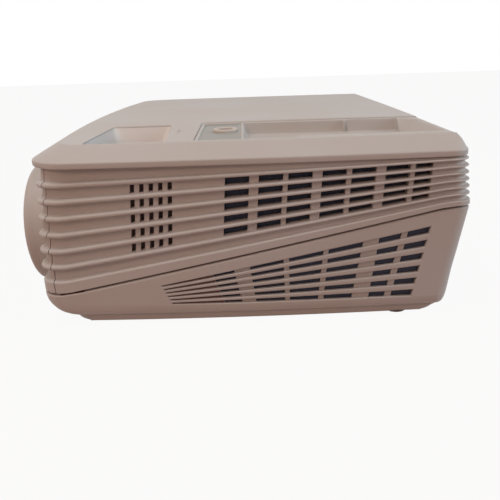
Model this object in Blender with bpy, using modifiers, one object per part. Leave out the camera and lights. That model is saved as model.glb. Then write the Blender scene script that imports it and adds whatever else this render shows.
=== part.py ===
"""Compact video projector with a lens at the front left, a ribbed case and vented sides.

Metres, +Z up, front towards -Y. The left side, as seen from behind the projector looking
along its beam, is +X. The origin is on the table under the middle of the case.
"""
import math

import bmesh
import bpy
from mathutils import Matrix, Vector

# Clearances, walls and overruns
PART_GAP = 0.0003
RUNNING_GAP = 0.0004
CUT_OVERRUN = 0.004
WALL = 0.0022

# Plan of the case, taken at the lid's lip
CORNER_X = 0.1475
SIDE_BOW = 0.0025
FRONT_LEFT_Y = -0.1067
FRONT_RIGHT_Y = -0.0992
FRONT_BOW = 0.0086
REAR_LEFT_Y = 0.1156
REAR_RIGHT_Y = 0.1134
REAR_BOW = 0.0018
FRONT_RADIUS = 0.0115
REAR_RADIUS = 0.0095
LEAST_RADIUS = 0.0012
SIDE_STEPS = 5
FRONT_STEPS = 7
REAR_STEPS = 3
CORNER_STEPS = 3

# Heights of the case
BASE_Z = 0.0025
RIM_Z = 0.0008
RIM_WIDTH = 0.0100
LIP_Z = 0.0861
LIP_HEIGHT = 0.0036
LID_RISE = 0.0066
LID_CROWN = 0.0006
LID_WALL = 0.0025
BAND_FRONT = 0.0124
BAND_SIDE = 0.0135
BAND_REAR = 0.0046
CROWN_SHARE = 0.45
LIP_ROUND = 0.0009
LIP_TOP_Z = LIP_Z + LIP_HEIGHT
TOP_Z = LIP_TOP_Z + LID_RISE

# Ribbed wall
WALL_INSET = 0.0045
RIB_PROUD = 0.0030
RIB_COUNT = 7
RIB_FRONT_Z = 0.0775
RIB_FRONT_PITCH = 0.0088
RIB_REAR_Z = 0.0846
RIB_REAR_PITCH = 0.00365
RIB_SECTION_SHARES = ((0.0, 0.28), (0.75, 0.11), (1.0, -0.07), (0.0, -0.18))
FRONT_LEAN_SHARE = 0.09
REAR_LEAN_SHARE = 0.17
SEAM_FRONT_Z = 0.0185
SEAM_REAR_Z = 0.0598
SEAM_GROOVE = 0.0016
TONGUE_INSET = 0.0036
TIP_INSET = WALL_INSET - RIB_PROUD
INNER_INSET = WALL_INSET + WALL

# Lower case: heights and insets (front, side, rear) of the rows under the seam
LOWER_MID_FRONT_Z = 0.0155
LOWER_MID_REAR_Z = 0.0350
LOWER_MID_INSETS = (-0.0038, 0.0018, 0.0018)
LOWER_LOW_Z = 0.0125
LOWER_LOW_INSETS = (-0.0013, 0.0022, 0.0065)
LOWER_TURN_Z = 0.0084
LOWER_TURN_INSETS = (0.0036, 0.0034, 0.0086)
LOWER_EDGE_Z = 0.0068
LOWER_EDGE_INSETS = (0.0098, 0.0055, 0.0130)
STRIP_STEP = 0.0006
STRIP_TAPER = 0.0003
FLOOR_THICK = 0.0027
FLOOR_Z = BASE_Z + FLOOR_THICK

# Grille of the loudspeaker, on the left side
SPEAKER_ROWS = 5
SPEAKER_COLUMNS = 5
SPEAKER_FIRST_Y = -0.0553
SPEAKER_PITCH = 0.0048
SPEAKER_SLOT = 0.0019
SPEAKER_TOP_SHARE = 0.33
SPEAKER_BOTTOM_SHARE = 0.24

# Upper vents, in columns between the ribs
VENT_ROWS = 5
RIGHT_VENT_ROWS = 3
VENT_COLUMNS = 7
VENT_FIRST_Y = -0.0083
VENT_SLOT = 0.0123
VENT_LAST_SLOT = 0.0088
VENT_THICK_BAR = 0.0048
VENT_THIN_BAR = 0.0025
VENT_TOP_SHARE = 0.24
VENT_BOTTOM_SHARE = 0.26
BAR_LEAN_SHARE = 0.065
BAR_LEAN_Z = 0.0770

# Fan-shaped grille in the lower case
FAN_ROWS = 6
FAN_TIP_Y = -0.0447
FAN_TIP_STEP_Y = 0.0010
FAN_TIP_Z = 0.0223
FAN_TIP_PITCH = 0.00203
FAN_TIP_SLOT = 0.0008
FAN_END_Y = 0.0977
FAN_END_Z = 0.0501
FAN_END_PITCH = 0.00705
FAN_END_SLOT = 0.0034
FAN_FOOT_Z = 0.0119
FAN_FIRST_TOP_Y = -0.0251
FAN_FIRST_FOOT_Y = -0.0115
FAN_END_FOOT_Y = 0.0900
FAN_GROOVE = 0.0008
FAN_TOP_SHARES = (0.0, 0.125, 0.205, 0.37, 0.395, 0.555, 0.575, 0.725, 0.79, 0.885, 0.91, 1.0)
FAN_FOOT_SHARES = (0.0, 0.095, 0.17, 0.325, 0.35, 0.50, 0.53, 0.68, 0.77, 0.855, 0.89, 1.0)

# Lens and its rings, turned about one axis along Y
LENS_X = 0.1000
LENS_Z = 0.0470
SURROUND_RADIUS = 0.0340
SURROUND_FRONT_Y = -0.1183
SURROUND_BACK_Y = -0.0985
SURROUND_BORE = 0.0262
SURROUND_ROUND = 0.0024
SURROUND_FLARE = 0.0310
TUBE_FRONT_Y = -0.0960
TUBE_BACK_Y = -0.0405
TUBE_RADIUS = 0.0255
TUBE_WALL = 0.0020
TUBE_FLANGE = 0.0300
TUBE_FLANGE_THICK = 0.0030
BARREL_FRONT_Y = -0.1125
BARREL_BACK_Y = -0.0760
BARREL_WALL = 0.0018
GLASS_BEHIND_FRONT = 0.0030
GLASS_THICK = 0.0045
GLASS_DOME = 0.0022
RING_RADIUS = 0.0298
RING_RIB = 0.0009
RING_RIBS = 12
FOCUS_RING_Y = -0.0795
ZOOM_RING_Y = -0.0600
RING_LENGTH = 0.0150
VARIATOR_BACK_Y = -0.0480
VARIATOR_LENGTH = 0.0160
TURN_STEPS = 24

# Focus recess in the lid
RECESS_NEAR_X = 0.1340
RECESS_FAR_X = 0.0660
RECESS_FRONT_Y = -0.0820
RECESS_REAR_Y = -0.0415
RECESS_FAR_SHIFT = 0.0050
RECESS_BOTTOM_Z = 0.0815
RECESS_TAPER = 0.0015
RECESS_SLOPE = 0.0085
RECESS_WALL = 0.0018

# Control strip with its sunken keypad, let into the lid
STRIP_FAR_X = 0.0600
STRIP_NEAR_X = 0.1335
STRIP_FRONT_Y = -0.0240
STRIP_SHALLOW = 0.0012
STRIP_FRAME = 0.0016
VALLEY_FRONT_Y = 0.0030
VALLEY_REAR_Y = 0.1095
VALLEY_FLOOR_Z = 0.0890
VALLEY_FAR_WALL = 0.0042
VALLEY_LEDGE = 0.0092
VALLEY_SLOPE = 0.0030
VALLEY_REAR_SLOPE = 0.0120
VALLEY_CORNER = 0.0120
BAY_LEDGE = 0.0016
BAY_REAR_Y = 0.0300
STRIP_SKIN = 0.0022
POWER_X = 0.0925
POWER_Y = -0.0085
POWER_RADIUS = 0.0071
POWER_PROUD = 0.0020
POWER_TRAVEL = 0.0008
KEY_RADIUS = 0.0042
KEY_PROUD = 0.0018
KEY_TRAVEL = 0.0010
KEY_STEM_SHARE = 0.42
KEY_FLANGE = 0.0010
KEY_EASE = 0.0006
PAD_X = 0.1050
PAD_Y = 0.0380
PAD_PITCH = 0.0110
SIDE_KEY_OFFSET = 0.0260
POST_INSET = 0.0045
POST_RADIUS = 0.0018
BOARD_REAR_Y = 0.0850

# Status lights in the lid
LIGHT_X = 0.1060
LIGHT_Y = -0.0350
LIGHT_PITCH = 0.0060
LIGHT_COUNT = 3
LIGHT_RADIUS = 0.0010
LIGHT_BAR = 0.0030

# Feet
FRONT_FOOT_Y = -0.0800
FRONT_FOOT_X = 0.0000
REAR_FOOT_X = 0.1200
REAR_FOOT_Y = 0.0850
FIXED_FOOT_X = 0.1372
FIXED_FOOT_Y = 0.0835
FOOT_RADIUS = 0.0048
FOOT_SHAFT = 0.0030
FRONT_PAD_RADIUS = 0.0080
FOOT_BOSS_WALL = 0.0020
FOOT_EASE = 0.0006
FIXED_FOOT_EASE = 0.0002
FOOT_SOLE = 0.0007
FRONT_SHAFT_LENGTH = 0.0330
FRONT_BOSS_HEIGHT = 0.0130
REAR_SHAFT = 0.0020
REAR_SHAFT_LENGTH = 0.0140
REAR_BOSS_HEIGHT = 0.0080

# Optical engine, with the mirror-chip board and its heat sink on the far side
ENGINE_X = 0.0970
ENGINE_SIZE = (0.0700, 0.0520, 0.0480)
ENGINE_FLOOR_Z = 0.0200
ENGINE_SKIN = 0.0020
ENGINE_POST = 0.0060
ENGINE_BORE = 0.0200
CHIP_BOARD_THICK = 0.0016
CHIP_BOARD_MARGIN = 0.0060
HEATSINK_BASE = 0.0025
HEATSINK_HEIGHT = 0.0150
HEATSINK_FIN = 0.0012
HEATSINK_PITCH = 0.0050
HEATSINK_FINS = 6
HEATSINK_TALL = 0.0320

# Colour wheel on its motor, behind the engine
WHEEL_X = 0.0930
WHEEL_Z = 0.0420
WHEEL_RADIUS = 0.0190
WHEEL_THICK = 0.0010
WHEEL_HUB = 0.0020
WHEEL_MOTOR_RADIUS = 0.0070
WHEEL_MOTOR_LENGTH = 0.0080
WHEEL_AXLE = 0.0015
WHEEL_AXLE_LENGTH = 0.0030

# Lamp module
LAMP_X = 0.0800
LAMP_FRONT_Y = 0.0440
LAMP_SIZE = (0.0560, 0.0560, 0.0560)
LAMP_SKIN = 0.0020
REFLECTOR_DEPTH = 0.0240
REFLECTOR_NECK = 0.0060
REFLECTOR_NECK_LENGTH = 0.0100
REFLECTOR_WALL = 0.0020
BURNER_RADIUS = 0.0036
BURNER_LENGTH = 0.0220

# Fans at the two sides
FAN_SIZE = 0.0600
FAN_DEPTH = 0.0150
FAN_BORE = 0.0280
FAN_HUB = 0.0110
FAN_BLADES = 7
FAN_BLADE_THICK = 0.0012
FAN_BLADE_CHORD = 0.0120
FAN_BLADE_TWIST = math.radians(38)
FAN_TIP_GAP = 0.0015
FAN_BAR = 0.0030
FAN_BAR_THICK = 0.0020
FAN_AXLE = 0.0020
FAN_ROTOR_GAP = 0.0010
FAN_WALL_GAP = 0.0007
EXHAUST_FAN_Y = 0.0650
INTAKE_FAN_Y = 0.0480

# Circuit boards on pillars of the lower case
BOARD_THICK = 0.0016
BOARD_Z = 0.0110
PILLAR_RADIUS = 0.0030
PILLAR_INSET = 0.0060
MAIN_BOARD_LOW = (-0.1150, -0.0180)
MAIN_BOARD_LEFT_X = 0.0400
MAIN_BOARD_PLATE_GAP = 0.0025
POWER_BOARD_LOW = (-0.1300, -0.0880)
POWER_BOARD_HIGH = (-0.0150, -0.0280)
BALLAST_LOW = (0.0130, -0.0900)
BALLAST_HIGH = (0.0580, -0.0300)
CHIP_SIZE = 0.0280
CHIP_HEIGHT = 0.0100
TRANSFORMER_SIZE = (0.0320, 0.0280, 0.0240)
CAPACITOR_RADIUS = 0.0090
CAPACITOR_HEIGHT = 0.0300
BALLAST_HEIGHT = 0.0220

# Loudspeaker behind its grille
SPEAKER_SIZE = (0.0064, 0.0300, 0.0440)
SPEAKER_WALL_GAP = 0.0007
SPEAKER_Z = 0.0580
SPEAKER_MIDDLE_Y = -0.0470
SPEAKER_CONE = 0.0125
SPEAKER_CAP = 0.0040
SPEAKER_CONE_DEPTH = 0.0035
SPEAKER_MAGNET = 0.0100
SPEAKER_MAGNET_DEPTH = 0.0020
SPEAKER_EASE = 0.0009

# Rear sockets in their plate, seen through a window in the lower case
WINDOW_LEFT_X = 0.0450
WINDOW_RIGHT_X = -0.1120
WINDOW_BOTTOM_Z = 0.0135
WINDOW_TOP_Z = 0.0500
PLATE_THICK = 0.0012
PLATE_MARGIN = 0.0030
PLATE_CLEARANCE = 0.0005
PLATE_Y = REAR_RIGHT_Y - LOWER_EDGE_INSETS[2] - WALL - PLATE_CLEARANCE - PLATE_THICK
SOCKET_PROUD = 0.0080
SOCKET_DEPTH = 0.0100
SOCKET_Z = 0.0210
UPPER_SOCKET_Z = 0.0390
INLET_SIZE = (0.0280, 0.0220)
INLET_POCKET = (0.0240, 0.0170)
INLET_X = -0.0930
INLET_Z = 0.0300
DSUB_SIZE = (0.0300, 0.0120)
DSUB_POCKET = (0.0180, 0.0085)
DSUB_SLANT = 0.0012
DSUB_X = (0.0230, -0.0150, -0.0530)
USB_SIZE = (0.0120, 0.0110)
USB_POCKET = (0.0085, 0.0075)
USB_X = 0.0310
ROUND_SOCKET_X = (0.0100, -0.0080, -0.0240)
ROUND_SOCKET_RADII = (0.0060, 0.0048, 0.0036)
ROUND_SOCKET_BORES = (0.0044, 0.0017, 0.0018)
SOCKET_NECK_DEPTH = 0.0060

# Infrared window in the front
IR_X = 0.0100
IR_Z = 0.0559
IR_SIZE = (0.0170, 0.0034)
IR_DEPTH = 0.0044

# Lamp cover and screws under the case
COVER_Y = 0.0560
COVER_SIZE = (0.0620, 0.0540)
COVER_SCREW_INSET = 0.0080
SCREW_RADIUS = 0.0030
SCREW_HEAD = 0.0012
SCREW_SHANK = 0.0015
SCREW_LENGTH = 0.0060
CASE_SCREW_SPOTS = ((0.1150, -0.0640), (-0.1150, -0.0640), (-0.1150, 0.0500))

OBJECTS = bpy.data.collections.new("video_projector")
CUTTERS = bpy.data.collections.new("cutters")


def start_scene():
    """Empty the scene and link the two collections."""
    for old in list(bpy.data.objects):
        bpy.data.objects.remove(old, do_unlink=True)
    bpy.context.scene.collection.children.link(OBJECTS)
    bpy.context.scene.collection.children.link(CUTTERS)


def finish(name, colour, roughness, metallic=0.0):
    """A Principled material for one piece."""
    made = bpy.data.materials.new(name)
    made.use_nodes = True
    shader = made.node_tree.nodes["Principled BSDF"]
    shader.inputs["Base Color"].default_value = (*colour, 1.0)
    shader.inputs["Roughness"].default_value = roughness
    shader.inputs["Metallic"].default_value = metallic
    return made


CREAM = ((0.74, 0.68, 0.63), 0.42)
GREY = ((0.50, 0.50, 0.48), 0.45)
DARK = ((0.03, 0.03, 0.035), 0.5)
STEEL = ((0.62, 0.62, 0.63), 0.35, 1.0)
GREEN = ((0.03, 0.16, 0.07), 0.5)
RUBBER = ((0.04, 0.04, 0.04), 0.9)
GLASS = ((0.10, 0.12, 0.20), 0.05)
BLUE = ((0.05, 0.12, 0.40), 0.5)
YELLOW = ((0.65, 0.48, 0.05), 0.5)
WHITE = ((0.80, 0.80, 0.78), 0.4)


def add(name, mesh, look, location=(0, 0, 0)):
    """Put a finished mesh into the projector's collection under its own name."""
    piece = bpy.data.objects.new(name, mesh)
    piece.location = location
    OBJECTS.objects.link(piece)
    if look is not None:
        mesh.materials.append(finish(name, *look))
    return piece


def mesh_from(bm, name):
    """Turn the bmesh into a mesh whose faces look out, and free it."""
    bmesh.ops.remove_doubles(bm, verts=bm.verts, dist=PART_GAP * 0.01)
    bmesh.ops.recalc_face_normals(bm, faces=bm.faces)
    mesh = bpy.data.meshes.new(name)
    bm.to_mesh(mesh)
    bm.free()
    mesh.shade_smooth()
    mesh.set_sharp_from_angle(angle=math.radians(35))
    return mesh


def as_cutter(piece):
    """Move a piece among the cutters."""
    OBJECTS.objects.unlink(piece)
    CUTTERS.objects.link(piece)
    piece.hide_render = True
    piece.display_type = "WIRE"
    return piece


def boolean(piece, other, operation="DIFFERENCE"):
    """Cut or join one piece with another that stays out of the model."""
    if piece.name != other.name and other.name not in CUTTERS.objects:
        as_cutter(other)
    step = piece.modifiers.new(other.name, "BOOLEAN")
    step.object = other
    step.operation = operation
    step.solver = "EXACT"
    return step


def loft(rings, closed_round=False, capped=True):
    """Skin a row of equal rings; each ring is a closed loop of points."""
    bm = bmesh.new()
    made = [[bm.verts.new(point) for point in ring] for ring in rings]
    count = len(made[0])
    last = len(made) if closed_round else len(made) - 1
    for i in range(last):
        ring = made[i]
        following = made[(i + 1) % len(made)]
        for j in range(count):
            k = (j + 1) % count
            bm.faces.new((ring[j], ring[k], following[k], following[j]))
    if capped and not closed_round:
        bm.faces.new(made[0])
        bm.faces.new(reversed(made[-1]))
    return bm


def block(name, low, high, look=None, bevel=0.0):
    """A box between two corners, with its edges eased when a bevel is given."""
    low = Vector(low)
    high = Vector(high)
    bm = bmesh.new()
    bmesh.ops.create_cube(bm, size=1.0)
    bmesh.ops.scale(bm, vec=high - low, verts=bm.verts)
    bmesh.ops.translate(bm, vec=(low + high) / 2, verts=bm.verts)
    piece = add(name, mesh_from(bm, name), look)
    if bevel:
        edge = piece.modifiers.new("eased", "BEVEL")
        edge.width = bevel
        edge.segments = 1
        edge.limit_method = "ANGLE"
    return piece


def rod(name, radius, start, end, look=None, steps=TURN_STEPS, tip=None):
    """A cylinder, or a cone with another tip radius, from one point to another."""
    start = Vector(start)
    end = Vector(end)
    along = end - start
    bm = bmesh.new()
    bmesh.ops.create_cone(bm, cap_ends=True, segments=steps, radius1=radius,
                          radius2=radius if tip is None else tip, depth=along.length)
    turn = Vector((0, 0, 1)).rotation_difference(along).to_matrix().to_4x4()
    bmesh.ops.transform(bm, matrix=Matrix.Translation((start + end) / 2) @ turn, verts=bm.verts)
    return add(name, mesh_from(bm, name), look)


def turned(name, profile, look=None, origin=(0, 0, 0), axis="Y", steps=TURN_STEPS):
    """A closed profile of (radius, height) swept round its axis by a Screw modifier.

    The height runs along +Z of the piece, which is turned so that it lies along the axis.
    """
    bm = bmesh.new()
    area = 0.0
    for (r1, z1), (r2, z2) in zip(profile, profile[1:] + profile[:1]):
        area += r1 * z2 - r2 * z1
    if area > 0:
        profile = profile[::-1]
    heights = [height for radius, height in profile]
    middle = (min(heights) + max(heights)) / 2
    profile = [(radius, height - middle) for radius, height in profile]
    along = {"X": Vector((1, 0, 0)), "Y": Vector((0, -1, 0)), "Z": Vector((0, 0, 1))}[axis]
    origin = Vector(origin) + along * middle
    verts = [bm.verts.new((radius, 0, height)) for radius, height in profile]
    for i in range(len(verts)):
        if i + 1 < len(verts) or profile[0][0] > 0:
            bm.edges.new((verts[i], verts[(i + 1) % len(verts)]))
    mesh = bpy.data.meshes.new(name)
    bm.to_mesh(mesh)
    bm.free()
    piece = add(name, mesh, look, origin)
    if axis == "Y":
        piece.rotation_euler = (math.radians(90), 0, 0)
    if axis == "X":
        piece.rotation_euler = (0, math.radians(90), 0)
    screw = piece.modifiers.new("turned", "SCREW")
    screw.axis = "Z"
    screw.steps = steps
    screw.render_steps = steps
    screw.use_merge_vertices = True
    screw.merge_threshold = PART_GAP * 0.1
    screw.use_smooth_shade = True
    return piece


def settle():
    """Give each untransformed piece an origin at its middle and hang all on one empty."""
    root = bpy.data.objects.new("projector_root", None)
    OBJECTS.objects.link(root)
    for piece in OBJECTS.objects:
        if piece.type != "MESH":
            continue
        if piece.location.length == 0:
            corners = [vert.co for vert in piece.data.vertices]
            low = Vector(min(point[k] for point in corners) for k in range(3))
            high = Vector(max(point[k] for point in corners) for k in range(3))
            middle = (low + high) / 2
            piece.data.transform(Matrix.Translation(-middle))
            piece.location = middle
        piece.parent = root


def prism(bm, corners, low_x, high_x):
    """Add a prism over (y, z) corners, from low_x to high_x, which may be functions of y."""
    near = [bm.verts.new((high_x(y) if callable(high_x) else high_x, y, z)) for y, z in corners]
    far = [bm.verts.new((low_x(y) if callable(low_x) else low_x, y, z)) for y, z in corners]
    count = len(corners)
    bm.faces.new(near)
    bm.faces.new(reversed(far))
    for i in range(count):
        j = (i + 1) % count
        bm.faces.new((near[j], near[i], far[i], far[j]))


# Plan of the case

def edge_points(start, end, bow, radius_start, radius_end, steps):
    """Points and end tangents of one bowed edge, trimmed for its two corners."""
    chord = end - start
    outward = Vector((chord.y, -chord.x)).normalized()
    first = radius_start / chord.length
    last = 1 - radius_end / chord.length
    points = []
    for i in range(steps + 1):
        share = first + (last - first) * i / steps
        points.append(start + chord * share + outward * (4 * bow * share * (1 - share)))
    tangents = [chord + outward * (4 * bow * (1 - 2 * share)) for share in (first, last)]
    return points, tangents


def corner_points(start, leave, end, arrive):
    """The inner points of a round corner between two edges with the given tangents."""
    across = leave.x * arrive.y - leave.y * arrive.x
    between = end - start
    meet = start + leave * ((between.x * arrive.y - between.y * arrive.x) / across)
    arc_share = 0.5523
    first = start.lerp(meet, arc_share)
    second = end.lerp(meet, arc_share)
    points = []
    for i in range(1, CORNER_STEPS):
        t = i / CORNER_STEPS
        u = 1 - t
        points.append(start * u**3 + first * (3 * u * u * t) + second * (3 * u * t * t) + end * t**3)
    return points


def plan(front, side, rear):
    """The closed outline of the case, moved in by an inset at the front, sides and rear."""
    corners = [Vector((CORNER_X - side, FRONT_LEFT_Y + front)),
               Vector((CORNER_X - side, REAR_LEFT_Y - rear)),
               Vector((side - CORNER_X, REAR_RIGHT_Y - rear)),
               Vector((side - CORNER_X, FRONT_RIGHT_Y + front))]
    fore = max(FRONT_RADIUS - side, LEAST_RADIUS)
    aft = max(REAR_RADIUS - side, LEAST_RADIUS)
    radii = [fore, aft, aft, fore]
    bows = [SIDE_BOW, REAR_BOW, SIDE_BOW, FRONT_BOW]
    steps = [SIDE_STEPS, REAR_STEPS, SIDE_STEPS, FRONT_STEPS]
    edges = []
    for i in range(4):
        j = (i + 1) % 4
        edges.append(edge_points(corners[i], corners[j], bows[i], radii[i], radii[j], steps[i]))
    outline = []
    for i in range(4):
        points, tangents = edges[i]
        following, ahead = edges[(i + 1) % 4]
        outline += points
        outline += corner_points(points[-1], tangents[1], following[0], ahead[0])
    return outline


LEFT_END = SIDE_STEPS
REAR_START = LEFT_END + CORNER_STEPS
REAR_END = REAR_START + REAR_STEPS
RIGHT_START = REAR_END + CORNER_STEPS
RIGHT_END = RIGHT_START + SIDE_STEPS
FRONT_START = RIGHT_END + CORNER_STEPS
FRONT_END = FRONT_START + FRONT_STEPS
STATIONS = FRONT_END + CORNER_STEPS
RISE_START_Y = FRONT_LEFT_Y + FRONT_RADIUS
RISE_END_Y = REAR_LEFT_Y - REAR_RADIUS


def rise(y, front_z, rear_z):
    """The height at y of a line that is level at both ends and straight along the side."""
    share = (y - RISE_START_Y) / (RISE_END_Y - RISE_START_Y)
    return front_z + (rear_z - front_z) * min(max(share, 0), 1)


def case_row(inset, front_z, rear_z):
    """One row of points round the case, with the lean of its front and rear."""
    front = inset + (front_z - LIP_Z) * FRONT_LEAN_SHARE
    rear = inset + (rear_z - LIP_Z) * REAR_LEAN_SHARE
    return [Vector((p.x, p.y, rise(p.y, front_z, rear_z))) for p in plan(front, inset, rear)]


def level_row(insets, z, rear_z=None, extra=0.0):
    """One row of points with its own insets at the front, sides and rear."""
    last_z = z if rear_z is None else rear_z
    front, side, rear = (inset + extra for inset in insets)
    return [Vector((p.x, p.y, rise(p.y, z, last_z))) for p in plan(front, side, rear)]


def side_x(y, inset):
    """The outer face of a side at y, for an inset from the lip."""
    middle = (FRONT_LEFT_Y + REAR_LEFT_Y) / 2
    half = (REAR_LEFT_Y - FRONT_LEFT_Y) / 2
    share = (y - middle) / half
    return CORNER_X - inset + SIDE_BOW * (1 - share * share)


def rib_line(number, y):
    """The height of a rib's middle at y on the side."""
    front_z = RIB_FRONT_Z - RIB_FRONT_PITCH * number
    rear_z = RIB_REAR_Z - RIB_REAR_PITCH * number
    return rise(y, front_z, rear_z)


def rib_pitch(y):
    """The distance between neighbouring ribs at y on the side."""
    return rise(y, RIB_FRONT_PITCH, RIB_REAR_PITCH)


def ribbed_rows():
    """Rows of the ribbed wall: down its outer face and up its inner face."""
    top_z = LIP_Z - PART_GAP
    rows = [case_row(WALL_INSET, top_z, top_z)]
    for number in range(RIB_COUNT):
        for proud_share, height_share in RIB_SECTION_SHARES:
            if number == RIB_COUNT - 1 and height_share < 0:
                continue
            front_z = RIB_FRONT_Z - RIB_FRONT_PITCH * (number - height_share)
            rear_z = RIB_REAR_Z - RIB_REAR_PITCH * (number - height_share)
            rows.append(case_row(WALL_INSET - RIB_PROUD * proud_share, front_z, rear_z))
    foot_front = SEAM_FRONT_Z + SEAM_GROOVE / 2
    foot_rear = SEAM_REAR_Z + SEAM_GROOVE / 2
    rows.append(case_row(TIP_INSET, foot_front, foot_rear))
    rows.append(case_row(INNER_INSET, foot_front, foot_rear))
    rows.append(case_row(INNER_INSET, top_z, top_z))
    return rows


def ribbed_panel(name, first, last):
    """One moulding of the ribbed wall, between two stations of the plan."""
    rows = ribbed_rows()
    columns = []
    for station in range(first, last + 1):
        columns.append([row[station % STATIONS].copy() for row in rows])
    for end, beside in ((0, 1), (-1, -2)):
        for j, point in enumerate(columns[end]):
            toward = (columns[beside][j] - point).normalized()
            columns[end][j] = point + toward * (PART_GAP / 2)
    return add(name, mesh_from(loft(columns), name), CREAM)


# Vents

def vent_columns():
    """Start and end of each vent column along the side, at the height of the lean line."""
    columns = []
    y = VENT_FIRST_Y
    for number in range(VENT_COLUMNS):
        width = VENT_LAST_SLOT if number == VENT_COLUMNS - 1 else VENT_SLOT
        columns.append((y, y + width))
        y += width + (VENT_THICK_BAR if number % 2 == 0 else VENT_THIN_BAR)
    return columns


def rib_slot(bm, row, start, end, top_share, bottom_share, sign):
    """A slot cutter between rib number row and the next, leaning with the front."""
    corners = []
    for y, upper in ((start, True), (end, True), (end, False), (start, False)):
        if upper:
            z = rib_line(row, y) - rib_pitch(y) * top_share
        else:
            z = rib_line(row + 1, y) + rib_pitch(y) * bottom_share
        corners.append((y - (BAR_LEAN_Z - z) * BAR_LEAN_SHARE, z))
    inner = CORNER_X - INNER_INSET - CUT_OVERRUN
    outer = CORNER_X + SIDE_BOW + CUT_OVERRUN
    prism(bm, corners, sign * inner, sign * outer)


def vent_cutter(name, sign, rows, with_speaker):
    """All the slots of one ribbed side, as one cutter."""
    bm = bmesh.new()
    for row in range(rows):
        for start, end in vent_columns():
            rib_slot(bm, row, start, end, VENT_TOP_SHARE, VENT_BOTTOM_SHARE, sign)
    if with_speaker:
        for row in range(SPEAKER_ROWS):
            for column in range(SPEAKER_COLUMNS):
                start = SPEAKER_FIRST_Y + SPEAKER_PITCH * column - SPEAKER_SLOT / 2
                rib_slot(bm, row, start, start + SPEAKER_SLOT, SPEAKER_TOP_SHARE,
                         SPEAKER_BOTTOM_SHARE, sign)
    return as_cutter(add(name, mesh_from(bm, name), None))


def meet(first, second):
    """Where two (y, z) lines cross, each given by two points."""
    (y1, z1), (y2, z2) = first
    (y3, z3), (y4, z4) = second
    down = (y1 - y2) * (z3 - z4) - (z1 - z2) * (y3 - y4)
    one = y1 * z2 - z1 * y2
    two = y3 * z4 - z3 * y4
    return ((one * (y3 - y4) - (y1 - y2) * two) / down, (one * (z3 - z4) - (z1 - z2) * two) / down)


def fan_row(number):
    """Upper and lower edge lines of one row of the fan-shaped grille."""
    tip_y = FAN_TIP_Y + FAN_TIP_STEP_Y * number
    tip_z = FAN_TIP_Z - FAN_TIP_PITCH * number
    end_z = FAN_END_Z - FAN_END_PITCH * number
    upper = ((tip_y, tip_z), (FAN_END_Y, end_z))
    lower = ((tip_y, tip_z - FAN_TIP_SLOT), (FAN_END_Y, end_z - FAN_END_SLOT))
    return upper, lower


def fan_edges():
    """The lines across the rows where the openings start and end, from front to rear."""
    edges = []
    for top_share, foot_share in zip(FAN_TOP_SHARES, FAN_FOOT_SHARES):
        top_y = FAN_FIRST_TOP_Y + (FAN_END_Y - FAN_FIRST_TOP_Y) * top_share
        foot_y = FAN_FIRST_FOOT_Y + (FAN_END_FOOT_Y - FAN_FIRST_FOOT_Y) * foot_share
        edges.append(((top_y, FAN_END_Z), (foot_y, FAN_FOOT_Z)))
    return edges


def fan_groove_cutter(name):
    """Shallow grooves along the whole rows, which set the bars back behind the slats."""
    bm = bmesh.new()
    outer = CORNER_X + SIDE_BOW + CUT_OVERRUN
    end = fan_edges()[-1]
    for row in range(FAN_ROWS):
        upper, lower = fan_row(row)
        corners = [upper[0], meet(upper, end), meet(lower, end), lower[0]]
        prism(bm, corners, lambda y: side_x(y, LOWER_MID_INSETS[1] + FAN_GROOVE), outer)
    return as_cutter(add(name, mesh_from(bm, name), None))


def fan_slot_cutter(name):
    """The openings of the fan-shaped grille, between its bars."""
    bm = bmesh.new()
    inner = CORNER_X - INNER_INSET - CUT_OVERRUN
    outer = CORNER_X + SIDE_BOW + CUT_OVERRUN
    edges = fan_edges()
    for row in range(FAN_ROWS):
        upper, lower = fan_row(row)
        for left, right in zip(edges[::2], edges[1::2]):
            corners = [meet(upper, left), meet(upper, right), meet(lower, right), meet(lower, left)]
            prism(bm, corners, inner, outer)
    return as_cutter(add(name, mesh_from(bm, name), None))


# Case mouldings

def build_side_panels():
    """The two ribbed side mouldings, each with its vents."""
    left = ribbed_panel("left_side_panel", 0, REAR_START)
    boolean(left, vent_cutter("left_vents", 1, VENT_ROWS, True))
    right = ribbed_panel("right_side_panel", REAR_END, RIGHT_END)
    boolean(right, vent_cutter("right_vents", -1, RIGHT_VENT_ROWS, False))


def build_front_bezel():
    """The ribbed front with the lens bore and the remote-control window."""
    bezel = ribbed_panel("front_bezel", RIGHT_END, STATIONS)
    boolean(bezel, lens_bore("lens_bore"))


def build_rear_panel():
    """The ribbed strip across the rear, above the sockets."""
    ribbed_panel("rear_panel", REAR_START, REAR_END)


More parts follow.
